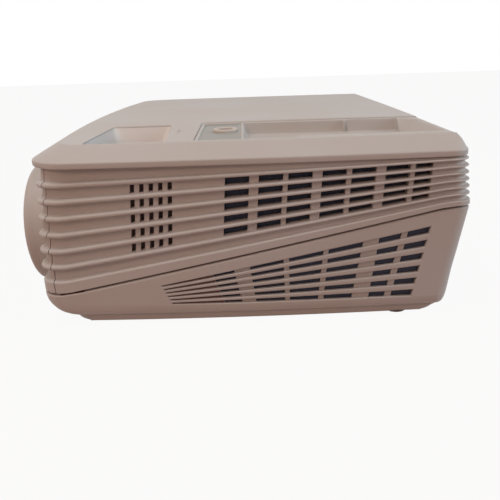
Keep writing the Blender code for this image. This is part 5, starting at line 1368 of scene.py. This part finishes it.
# %% Lens materials
def coated_glass(name):
    """Clear glass with a coating whose colour changes with the angle, and a little dust."""
    made, tree = new_material(name)
    facing = add_node(tree, "LayerWeight", Blend=0.35).outputs["Facing"]
    cast = ramp(tree, facing, (0.0, (0.30, 0.42, 0.85)), (0.45, (0.62, 0.30, 0.80)),
                (0.9, (0.45, 0.80, 0.50)))
    dust = add_node(tree, "TexNoise", Vector=place_in(tree), Scale=260.0, Detail=3.0)
    haze = ramp(tree, dust.outputs["Fac"], (0.45, (0.02,) * 3), (0.75, (0.12,) * 3))
    surface(tree, IOR=1.52, Transmission_Weight=0.92, Base_Color=(0.93, 0.95, 1.0, 1), Coat_Weight=0.2,
            Specular_IOR_Level=0.3, Specular_Tint=cast, Coat_Tint=cast, Roughness=haze)
    return made


def metal(name, colour, rough=(0.28, 0.45), stretch=(60.0, 60.0, 60.0), grain=0.15, metallic=1.0):
    """Metal or its paint: noise drawn out along one direction changes tint, gloss and surface."""
    made, tree = new_material(name)
    drawn = add_node(tree, "Mapping", Vector=place_in(tree), Scale=stretch).outputs[0]
    noise = add_node(tree, "TexNoise", Vector=drawn, Scale=8.0, Detail=4.0, Roughness=0.6).outputs["Fac"]
    gloss = add_node(tree, "MapRange", Value=noise, To_Min=rough[0], To_Max=rough[1])
    tint = ramp(tree, noise, (0.3, shade_of(colour, 0.78)), (0.7, colour))
    surface(tree, (noise, grain, 0.05), Metallic=metallic, Base_Color=tint, Roughness=gloss.outputs["Result"])
    return made


GLASS = coated_glass("coated_glass")
LENS_BLACK = metal("lens_black", (0.020, 0.020, 0.022), (0.30, 0.42), (40, 260, 40), 0.2, metallic=0.25)
RING_BLACK = moulded("ring_black", (0.030, 0.029, 0.028), (0.022, 0.020, 0.020), rough=(0.38, 0.5))
STEEL = metal("bright_steel", (0.62, 0.60, 0.57), (0.22, 0.36), (30, 30, 220))
NICKEL = metal("nickel_shell", (0.72, 0.69, 0.64), (0.18, 0.30), (200, 60, 60))
DARK = moulded("dark_plastic_plain", (0.035, 0.035, 0.038), (0.028, 0.026, 0.026), rough=(0.32, 0.46))
print("lens and metal finishes made")

# %% [markdown]
# ## Barrel, glass, tube and rings
#
# All four are turned about the lens axis. The barrel has a bevelled mouth and a few baffle rings
# inside, the glass a front face and a back face that bow differently, and the tube a flange at its
# rear. The rings differ only in their places, so one function knurls both.

# %% Barrel, glass, tube and rings
barrel = [(21.3, -76.0), (23.1, -76.0), (23.1, -111.9), (22.9, -112.35), (22.4, -112.5), (21.9, -112.3),
          (21.5, -111.7), (21.3, -110.9), (20.3, -110.6), (20.2, -110.1), (20.4, -109.75), (21.25, -109.6),
          (21.25, -104.8), (19.6, -104.7), (19.6, -104.2), (21.3, -103.8), (21.3, -101.0), (20.5, -100.8),
          (20.5, -100.4), (21.3, -100.0), (21.3, -97.0), (20.7, -96.8), (20.7, -96.4), (21.3, -96.0)]
dress(lathe("lens_barrel_turned", barrel, LENS_AXIS, steps=80), LENS_BLACK, ["lens_barrel"],
      body="lens_front", smooth=35)
GLASS_RADIUS, GLASS_BORE, GLASS_STEPS = 21.0, 0.3, 12
FRONT_Y, FRONT_SAG, BACK_Y, BACK_SAG = -109.45, 2.2, -105.1, 0.9
shares = [i / GLASS_STEPS for i in range(GLASS_STEPS + 1)]
front_face = [(GLASS_RADIUS * s + GLASS_BORE * (1 - s), FRONT_Y + FRONT_SAG * s**2) for s in shares]
back_face = [(radius, BACK_Y - BACK_SAG * (radius / GLASS_RADIUS) ** 2) for radius, _ in front_face[::-1]]
glass = lathe("front_glass", front_face + back_face, LENS_AXIS, steps=72, capped=True)
dress(glass, GLASS, ["front_lens"], body="lens_front", smooth=35)
tube = [(23.5, -96.0), (25.2, -96.0), (25.5, -95.7), (25.5, -43.5), (29.6, -43.5), (30.0, -43.1),
        (30.0, -40.5), (23.5, -40.5), (23.5, -70.0), (23.3, -70.3), (23.3, -71.3), (23.5, -71.6)]
dress(lathe("lens_tube_turned", tube, LENS_AXIS, steps=72), LENS_BLACK, ["lens_tube"],
      smooth=35)
RING_BORE, RING_BASE, RING_RIB, RIB_NUMBER = 25.95, 28.9, 0.85, 40
RIB_POINTS = (0, 1, 1, 0)


def knurled_ring(node):
    """A ring with smooth edges and upright ribs between them."""
    low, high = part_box(node)
    start, end = low.y / MM, high.y / MM
    section = [(RING_BORE, start, 0), (RING_BASE - 0.4, start, 0), (RING_BASE, start + 0.4, 0),
               (RING_BASE, start + 1.7, 0), (RING_BASE, start + 2.1, RING_RIB),
               (RING_BASE, end - 2.1, RING_RIB), (RING_BASE, end - 1.7, 0), (RING_BASE, end - 0.4, 0),
               (RING_BASE - 0.4, end, 0), (RING_BORE, end, 0)]
    count = RIB_NUMBER * len(RIB_POINTS)
    rings = []
    for radius, along, rib in section:
        ring = []
        for i in range(count):
            angle = math.tau * i / count
            reach = radius + rib * RIB_POINTS[i % len(RIB_POINTS)]
            x, z = LENS_X + reach * math.cos(angle), LENS_Z + reach * math.sin(angle)
            ring.append(Vector((x, along, z)))
        rings.append(ring)
    made = stack(node + "_knurled", rings, capped=False)
    return dress(made, RING_BLACK, [node], body=node, smooth=35)


knurled_ring("focus_ring")
knurled_ring("zoom_ring")

# %% [markdown]
# ## Sockets at the rear
#
# The rear window shows bought-in parts: video sockets in D-shaped steel shells, a serial socket,
# the mains inlet with three blades, and round sockets. Most are stacks of rounded outlines that
# turn in at the mouth, so a few helpers come first: an outline that stands in the window, a body
# of such outlines, and one cutter that bores many contact holes at once.

# %% Outlines and bores of the sockets
BLUE = moulded("socket_blue", (0.03, 0.07, 0.33), (0.025, 0.05, 0.25), rough=(0.3, 0.42))
YELLOW = moulded("socket_yellow", (0.75, 0.45, 0.03), (0.62, 0.35, 0.03), rough=(0.3, 0.42))
GREEN = moulded("socket_green", (0.05, 0.34, 0.11), (0.04, 0.26, 0.08), rough=(0.3, 0.42))
WHITE_CORE = moulded("socket_core_pale", (0.60, 0.58, 0.53), (0.52, 0.49, 0.43), rough=(0.3, 0.42))


def upright_outline(middle, width, height, slant, radius, y, grow=0.0):
    """A rounded outline standing in the plane of the sockets; slant narrows its foot."""
    half, tall = width / 2 + grow, height / 2 + grow
    corners = [(half - slant, -tall), (half, tall), (-half, tall), (-half + slant, -tall)]
    flat = rounded_outline(corners, max(radius + grow, 0.15), steps=4)
    return [Vector((middle.x + point.x, y, middle.z + point.y)) for point in flat]


def rods_along_y(name, places, radius, low_y, high_y, steps=10):
    """Many small rods in one mesh, to bore with."""
    bm = bmesh.new()
    for x, z in places:
        turns = [math.tau * i / steps for i in range(steps)]
        add_stack(bm, [[(x + radius * math.cos(turn), y, z + radius * math.sin(turn)) for turn in turns]
                       for y in (low_y, high_y)], True)
    bmesh.ops.recalc_face_normals(bm, faces=bm.faces)
    return mesh_object(name, bm)


def plug_rings(middle, size, radius, levels, slant=0):
    """Upright rounded outlines of one size round a middle, one for each (y, grow) level."""
    return [upright_outline(middle, *size, slant, radius, y, grow) for y, grow in levels]


print("socket colours:", BLUE.name, YELLOW.name, GREEN.name, WHITE_CORE.name)

# %% [markdown]
# ## D-shaped sockets
#
# Each is a plastic core with rows of contact holes in a thin drawn shell, on a block with a screw
# post at each side. The shell is a closed band, out over the mouth and back inside.

# %% D-shaped sockets
SOCKET_BACK, SOCKET_MOUTH, FLANGE_Y = 86.5, 105.6, 99.2
SHELL, SHELL_SLANT, POST_REACH = (17.8, 9.2), 1.3, 12.3
ROW_PITCH, CONTACT_RADIUS = 2.0, 0.55
POST = [(1.3, 98.4), (2.6, 98.4), (2.6, 103.2), (2.3, 103.6), (1.6, 103.6), (1.3, 103.2)]


def d_socket(node, block_material, core_material, contact_rows):
    """A D-shaped socket: block, steel shell, bored core and two screw posts."""
    middle = middle_of(node)[0]
    block = plug_rings(middle, (30, 12), 0.6, ((SOCKET_BACK, 0), (98.2, 0), (98.21, 0.35),
                                               (FLANGE_Y - 0.2, 0.35), (FLANGE_Y, 0.15)))
    dress(stack(node + "_block", block), block_material, [node], smooth=30)
    shell = plug_rings(middle, SHELL, 2.0, ((98.4, 0), (104.9, 0), (105.4, -0.1), (SOCKET_MOUTH, -0.3),
                                            (105.4, -0.5), (104.9, -0.55), (98.4, -0.55)), SHELL_SLANT)
    dress(stack(node + "_shell", shell, capped=False), NICKEL, [node], smooth=35)
    core_rings = plug_rings(middle, SHELL, 2.0, ((98.4, -0.6), (104.2, -0.6), (104.5, -0.85)), SHELL_SLANT)
    core = stack(node + "_core", core_rings)
    spots = []
    for number, (count, pitch, shift) in enumerate(contact_rows):
        z = middle.z + ((len(contact_rows) - 1) / 2 - number) * ROW_PITCH
        spots += [(middle.x + (i - (count - 1) / 2) * pitch + shift, z) for i in range(count)]
    cut(core, rods_along_y("contact_holes", spots, CONTACT_RADIUS, 101.5, 107.0))
    dress(core, core_material, [node], smooth=30)
    for letter, reach in (("a", -POST_REACH), ("b", POST_REACH)):
        post = lathe(f"{node}_post_{letter}", POST, (middle.x + reach, 0, middle.z), steps=6)
        dress(post, STEEL, [node], smooth=25)


THREE_ROWS = ((5, 2.3, 0.0), (5, 2.3, -1.1), (5, 2.3, 0.0))
d_socket("computer_in", NICKEL, BLUE, THREE_ROWS)
d_socket("monitor_out", NICKEL, BLUE, THREE_ROWS)
d_socket("serial_port", STEEL, DARK, ((5, 2.7, 0.0), (4, 2.7, 0.0)))

# %% [markdown]
# ## Mains inlet and USB socket
#
# Both are a block with a rounded mouth and a pocket, drawn in one go: rings run along the outside,
# turn in at the mouth and go down the pocket to its floor. The blades and the tongue stand on it.

# %% Mains inlet and USB socket
def mouth_body(name, node, size, pocket, radius, floor_y, material):
    """A block with a rounded mouth and a pocket down to a floor."""
    middle = middle_of(node)[0]
    rings = plug_rings(middle, size, 0.8, ((SOCKET_BACK, 0), (105.0, 0), (105.5, -0.25), (105.7, -0.6)))
    rings += plug_rings(middle, pocket, radius, ((105.7, 0.3), (105.4, 0.05), (104.8, 0), (floor_y, 0)))
    return dress(stack(name, rings), material, [node], smooth=30)


mouth_body("mains_inlet_body", "power_inlet", (28, 22), (24, 17), 3.0, 99.7, DARK)
inlet_middle = middle_of("power_inlet")[0]
for number, (dx, dz) in enumerate(((-7.0, -1.5), (0.0, 2.5), (7.0, -1.5))):
    blade = plug_rings(inlet_middle + Vector((dx, 0, dz)), (2.0, 4.2), 0.4,
                       ((99.5, 0), (103.8, 0), (104.6, -0.35)))
    dress(stack(f"mains_blade_{number + 1}", blade), STEEL, ["power_inlet"], smooth=30)
mouth_body("usb_shell", "usb_port", (12, 11), (8.6, 7.8), 0.8, 98.6, NICKEL)
tongue = plug_rings(middle_of("usb_port")[0], (5.6, 3.0), 0.4, ((98.4, 0), (104.4, 0), (104.8, -0.3)))
dress(stack("usb_tongue", tongue), WHITE_CORE, ["usb_port"], smooth=30)

# %% [markdown]
# ## Round sockets
#
# A coloured collar tells the sockets apart. Inside it stands a metal sleeve, and in the sleeve a
# core, either a plain ring or a disc bored for four pins. All three are turned.

# %% Round sockets
def round_socket(node, collar_radius, sleeve, bore, collar_material, holes=()):
    """A round socket: coloured collar, steel sleeve and a bored core."""
    middle = middle_of(node)[0]
    axis = (middle.x, 0, middle.z)
    collar_profile = [(0.4, SOCKET_BACK), (collar_radius, SOCKET_BACK), (collar_radius, 100.6),
                      (collar_radius - 0.3, 101.0), (sleeve + 0.05, 101.0), (sleeve + 0.05, 99.0),
                      (0.4, 99.0)]
    collar = lathe(node + "_collar", collar_profile, axis, steps=32, capped=True)
    dress(collar, collar_material, [node], smooth=30)
    sleeve_profile = [(sleeve - 0.6, 98.8), (sleeve, 98.8), (sleeve, 105.3), (sleeve - 0.15, 105.6),
                      (sleeve - 0.4, 105.6), (sleeve - 0.6, 105.3)]
    dress(lathe(node + "_sleeve", sleeve_profile, axis, steps=32), NICKEL, [node], smooth=30)
    inner, start = sleeve - 0.65, 0.4 if holes else bore
    core_profile = [(start, 99.1), (inner, 99.1), (inner, 104.0), (inner - 0.25, 104.3), (start, 104.3)]
    core = lathe(node + "_core", core_profile, axis, steps=32, capped=bool(holes))
    if holes:
        spots = [(middle.x + dx, middle.z + dz) for dx, dz in holes]
        cut(core, rods_along_y("pin_holes", spots, bore, 101.0, 107.0))
    dress(core, collar_material, [node], smooth=30)


MINI_HOLES = ((-1.7, 1.2), (1.7, 1.2), (-1.1, -1.6), (1.1, -1.6))
round_socket("s_video_socket", 6.0, 4.7, 0.5, DARK, MINI_HOLES)
round_socket("video_socket", 4.8, 4.1, 1.5, YELLOW)
round_socket("audio_socket", 3.6, 2.9, 1.7, GREEN)

# %% [markdown]
# ## Window and feet
#
# A dark red window in the front lets the remote control's light in. Under the case are two rubber
# pads with grip rings on threaded shafts, and one fixed rubber foot. The window is a small stack;
# the rest is turned, with the thread as plain rings, since a helix this fine wouldn't be seen.

# %% Window and feet
RED_WINDOW = moulded("infrared_window", (0.10, 0.006, 0.010), (0.07, 0.004, 0.007), grain=0.05,
                     rough=(0.06, 0.14))
RUBBER = moulded("foot_rubber", (0.13, 0.10, 0.095), (0.17, 0.125, 0.11), grain=0.6, rough=(0.75, 0.9))
window_low, window_high = (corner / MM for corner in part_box("ir_window"))
window = plug_rings((window_low + window_high) / 2, (17.0, 3.4), 0.5,
                    ((window_high.y, 0), (window_low.y + 0.5, 0), (window_low.y + 0.12, -0.12),
                     (window_low.y, -0.45)))
dress(stack("infrared_window", window), RED_WINDOW, ["ir_window"], smooth=30)


def foot_pad(name, node, bore, grooves):
    """A rubber pad that holds a shaft in a cup, with grip rings under it."""
    centre, radius, low, high = middle_of(node)
    profile = [(0.4, 0.7), (bore, 0.7), (bore, high), (radius - 0.7, high), (radius - 0.2, high - 0.2),
               (radius, high - 0.6), (radius, 0.6), (radius - 0.2, 0.2), (radius - 0.6, low)]
    for number in range(grooves):
        start = radius - 1.4 - 1.7 * number
        profile += [(start, low), (start - 0.15, 0.3), (start - 0.65, 0.3), (start - 0.8, low)]
    profile.append((0.4, low))
    return dress(upright(name, profile, centre, 48), RUBBER, [node], body=node, smooth=35)


THREAD_PITCH = 1.0


def threaded_shaft(name, node):
    """A steel shaft with a fine thread."""
    centre, radius, low, high = middle_of(node)
    profile = [(0.4, low), (radius - 0.5, low)]
    z = low + 0.6
    while z < high - 0.6:
        profile += [(radius - 0.45, z), (radius, z + 0.35), (radius, z + 0.5)]
        z += THREAD_PITCH
    profile += [(radius - 0.5, high - 0.05), (0.4, high)]
    return dress(upright(name, profile, centre, 24), STEEL, [node], body=node, smooth=25)


foot_pad("front_foot_rubber", "front_foot_pad", 3.4, 2)
foot_pad("rear_foot_rubber", "rear_foot_pad", 2.4, 1)
threaded_shaft("front_foot_thread", "front_foot_shaft")
threaded_shaft("rear_foot_thread", "rear_foot_shaft")
fixed_centre, _, _, fixed_top = middle_of("fixed_rear_foot")
fixed = [(0.4, fixed_top), (5.9, fixed_top), (5.9, 0.2), (5.7, 0.04), (5.4, 0.0), (4.2, 0.0), (4.1, 0.15),
         (3.4, 0.15), (3.3, 0.0), (0.4, 0.0)]
dress(upright("fixed_foot_rubber", fixed, fixed_centre, 48), RUBBER, ["fixed_rear_foot"],
      smooth=35)

# %% [markdown]
# ## Screws and lamp cover
#
# Each screw has a low domed head with a crossed recess, which two blocks cut. The lamp cover is a
# thin rounded plate with a screw seat and six vent slots, so air reaches the lamp from below.

# %% Screws and lamp cover
HEAD, SHANK, SCREW_PITCH = 3.0, 1.5, 0.6
RECESS_REACH, RECESS_HALF, RECESS_DEPTH = 1.7, 0.3, 0.75
VENT_SPAN, VENT_START_Y, VENT_PITCH, VENT_WIDTH = (60, 100), 50.0, 4.6, 1.8


def crossed_screw(name, node):
    """A screw from below: low domed head with a crossed recess, and a threaded shank."""
    centre, _, low, high = middle_of(node)
    profile = [(0.4, high), (SHANK - 0.5, high - 0.2)]
    z = high - 0.8
    while z > low + 1.9:
        profile += [(SHANK - 0.3, z), (SHANK, z - 0.25)]
        z -= SCREW_PITCH
    profile += [(SHANK, low + 1.2), (HEAD, low + 1.2), (HEAD, low + 0.6), (HEAD - 0.35, low + 0.2),
                (HEAD - 1.0, low + 0.03), (0.4, low)]
    made = upright(name, profile, centre, 28)
    for half_x, half_y in ((RECESS_REACH, RECESS_HALF), (RECESS_HALF, RECESS_REACH)):
        cut(made, box_cutter("recess", (centre.x - half_x, centre.y - half_y, low - 1),
                             (centre.x + half_x, centre.y + half_y, low + RECESS_DEPTH)))
    return dress(made, STEEL, [node], smooth=25)


for number in (1, 2, 3):
    crossed_screw(f"case_screw_{number}_crossed", f"case_screw_{number}")
crossed_screw("lamp_cover_screw_crossed", "lamp_cover_screw")
cover_low, cover_high = (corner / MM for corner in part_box("lamp_cover"))
cover_corners = block_corners(cover_low.x, cover_high.x, cover_low.y, cover_high.y)
cover_levels = ((cover_low.z, -0.6), (cover_low.z + 0.15, -0.2), (cover_low.z + 0.5, 0.0),
                (cover_high.z, 0.0))
cover = stack("lamp_cover_vented", [at_height(rounded_outline(cover_corners, 3.0, grow), z)
                                    for z, grow in cover_levels])
screw_centre = middle_of("lamp_cover_screw")[0]
cut(cover, upright_rod("cover_seat", SEAT_RADIUS, screw_centre, 1, 4.1),
    upright_rod("cover_hole", SCREW_HOLE, screw_centre, 3, 7))
for row in range(6):
    y = VENT_START_Y + VENT_PITCH * row
    outline = rounded_outline(block_corners(*VENT_SPAN, y, y + VENT_WIDTH), 0.85)
    cut(cover, stack("cover_slot", [at_height(outline, z) for z in (1, 7)]))
dress(cover, IVORY, ["lamp_cover"], smooth=30)

# %% [markdown]
# ## Finishes of the parts inside
#
# The parts inside keep the shape of the frame and get their real finish: die-cast engine, finned
# aluminium, circuit boards with tracks and pads, black fans, a mirrored reflector, a quartz burner
# and a colour wheel with four segments. Patterns follow the part: rings round the speaker's axis,
# segments by angle round the wheel's axis.

# %% Recipes of the inner finishes
def board(name, mask, track, spin=(0.0, 0.0, 0.0)):
    """A circuit board: lacquer over rows of tracks, with small bright pads."""
    made, tree = new_material(name)
    place = add_node(tree, "Mapping", Vector=place_in(tree), Rotation=spin).outputs[0]
    bricks = add_node(tree, "TexBrick", Vector=place, Scale=150.0, Mortar_Size=0.045, Color1=(*mask, 1),
                      Color2=(*shade_of(mask, 0.8), 1), Mortar=(*track, 1))
    pads = add_node(tree, "TexVoronoi", Vector=place, Scale=230.0)
    is_pad = ramp(tree, pads.outputs["Distance"], (0.14, (1, 1, 1)), (0.17, (0, 0, 0)))
    mix = add_node(tree, "Mix", data_type="RGBA", Factor=is_pad, A=bricks.outputs["Color"],
                   B=(0.72, 0.58, 0.32, 1))
    surface(tree, (bricks.outputs["Fac"], 0.35, 0.1), Base_Color=mix.outputs["Result"], Metallic=is_pad,
            Roughness=0.34)
    return made


def from_axis(tree, node, keep):
    """The place relative to a part's middle, with only the kept directions."""
    low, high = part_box(node)
    moved = add_node(tree, "VectorMath", place_in(tree), (low + high) / 2, operation="SUBTRACT")
    return add_node(tree, "VectorMath", moved.outputs[0], keep, operation="MULTIPLY").outputs[0]


def zoned(name, node, keep, stops, reach, gloss_stops, metallic=0.0):
    """A finish whose colour and gloss change with the distance from a part's axis."""
    made, tree = new_material(name)
    length = add_node(tree, "VectorMath", from_axis(tree, node, keep), operation="LENGTH").outputs["Value"]
    share = add_node(tree, "Math", length, reach * MM, operation="DIVIDE").outputs[0]
    noise = add_node(tree, "TexNoise", Scale=900.0, Detail=2.0).outputs["Fac"]
    surface(tree, (noise, 0.2, 0.05), Metallic=metallic, Base_Color=ramp(tree, share, *stops),
            Roughness=ramp(tree, share, *gloss_stops))
    return made


def wheel_segments(name, node):
    """Coloured filter segments by angle round the wheel's axis."""
    made, tree = new_material(name)
    split = add_node(tree, "SeparateXYZ", from_axis(tree, node, (1, 0, 1))).outputs
    angle = add_node(tree, "Math", split["X"], split["Z"], operation="ARCTAN2").outputs[0]
    share = add_node(tree, "MapRange", Value=angle, From_Min=-math.pi, From_Max=math.pi)
    colour = ramp(tree, share.outputs["Result"], (0.0, (0.70, 0.05, 0.04)), (0.30, (0.05, 0.45, 0.10)),
                  (0.60, (0.04, 0.10, 0.60)), (0.88, (0.75, 0.75, 0.78)))
    colour.node.color_ramp.interpolation = "CONSTANT"
    surface(tree, Roughness=0.08, Transmission_Weight=0.55, Base_Color=colour)
    return made


print("inner recipes ready")

# %% [markdown]
# ## Which finish goes where
#
# The frame's own pieces stay as they are, and only their material slots change. A table by name
# says which piece gets which finish.

# %% Inner parts
BOARD_GREEN = board("board_green", (0.02, 0.13, 0.05), (0.05, 0.24, 0.10))
BOARD_BROWN = board("board_brown", (0.30, 0.19, 0.08), (0.42, 0.28, 0.13))
BOARD_UPRIGHT = board("board_upright", (0.02, 0.13, 0.05), (0.05, 0.24, 0.10), (0, math.radians(90), 0))
ALUMINIUM = metal("fin_aluminium", (0.70, 0.71, 0.72), (0.30, 0.45), (220, 30, 30))
CAST = metal("die_cast", (0.22, 0.22, 0.23), (0.45, 0.62), (50, 50, 50), 0.4, metallic=0.8)
FAN_BLACK = moulded("fan_black", (0.022, 0.022, 0.025), (0.016, 0.015, 0.017), rough=(0.22, 0.34))
HOUSING_HEAT = moulded("lamp_housing_grey", (0.10, 0.095, 0.09), (0.075, 0.07, 0.065), rough=(0.5, 0.62))
QUARTZ = moulded("burner_quartz", (0.72, 0.70, 0.66), (0.80, 0.78, 0.76), grain=0.05, rough=(0.08, 0.2))
MIRROR = zoned("reflector_mirror", "lamp_reflector", (1, 0, 1),
               ((0.0, (0.90, 0.84, 0.95)), (0.5, (0.78, 0.86, 0.97)), (1.0, (0.93, 0.88, 0.80))), 26,
               ((0.0, (0.04,) * 3), (1.0, (0.10,) * 3)), metallic=1.0)
CONE = zoned("speaker_cone", "loudspeaker", (0, 1, 1),
             ((0.0, (0.030,) * 3), (0.30, (0.045, 0.042, 0.040)), (0.36, (0.020,) * 3),
              (0.95, (0.055, 0.050, 0.046)), (1.0, (0.022,) * 3)), 13,
             ((0.0, (0.35,) * 3), (0.34, (0.8,) * 3), (1.0, (0.45,) * 3)))
REAR_GROUP = zoned("rear_group", "zoom_lens_group", (1, 0, 1),
                   ((0.0, (0.05, 0.02, 0.08)), (0.80, (0.03, 0.04, 0.08)), (0.86, (0.016,) * 3)), 23.1,
                   ((0.0, (0.05,) * 3), (0.80, (0.06,) * 3), (0.88, (0.4,) * 3)))
CARRIED = {
    "zoom_lens_group": REAR_GROUP, "optical_engine": CAST, "lamp_housing": HOUSING_HEAT,
    "exhaust_fan_frame": FAN_BLACK, "exhaust_fan_rotor": FAN_BLACK, "intake_fan_frame": FAN_BLACK,
    "intake_fan_rotor": FAN_BLACK, "loudspeaker": CONE, "wheel_motor": STEEL,
    "colour_wheel": wheel_segments("wheel_filters", "colour_wheel"), "socket_plate": STEEL,
    "chip_heatsink": ALUMINIUM, "chip_board": BOARD_UPRIGHT, "lamp_reflector": MIRROR, "lamp_burner": QUARTZ,
    "switch_board": BOARD_GREEN, "main_board": BOARD_GREEN, "power_supply": BOARD_BROWN,
    "lamp_ballast": BOARD_BROWN,
}
for node, material in CARRIED.items():
    materials = NODES[node].data.materials
    for index in range(len(materials)):
        materials[index] = material
print("carried over with finishes:", len(CARRIED))
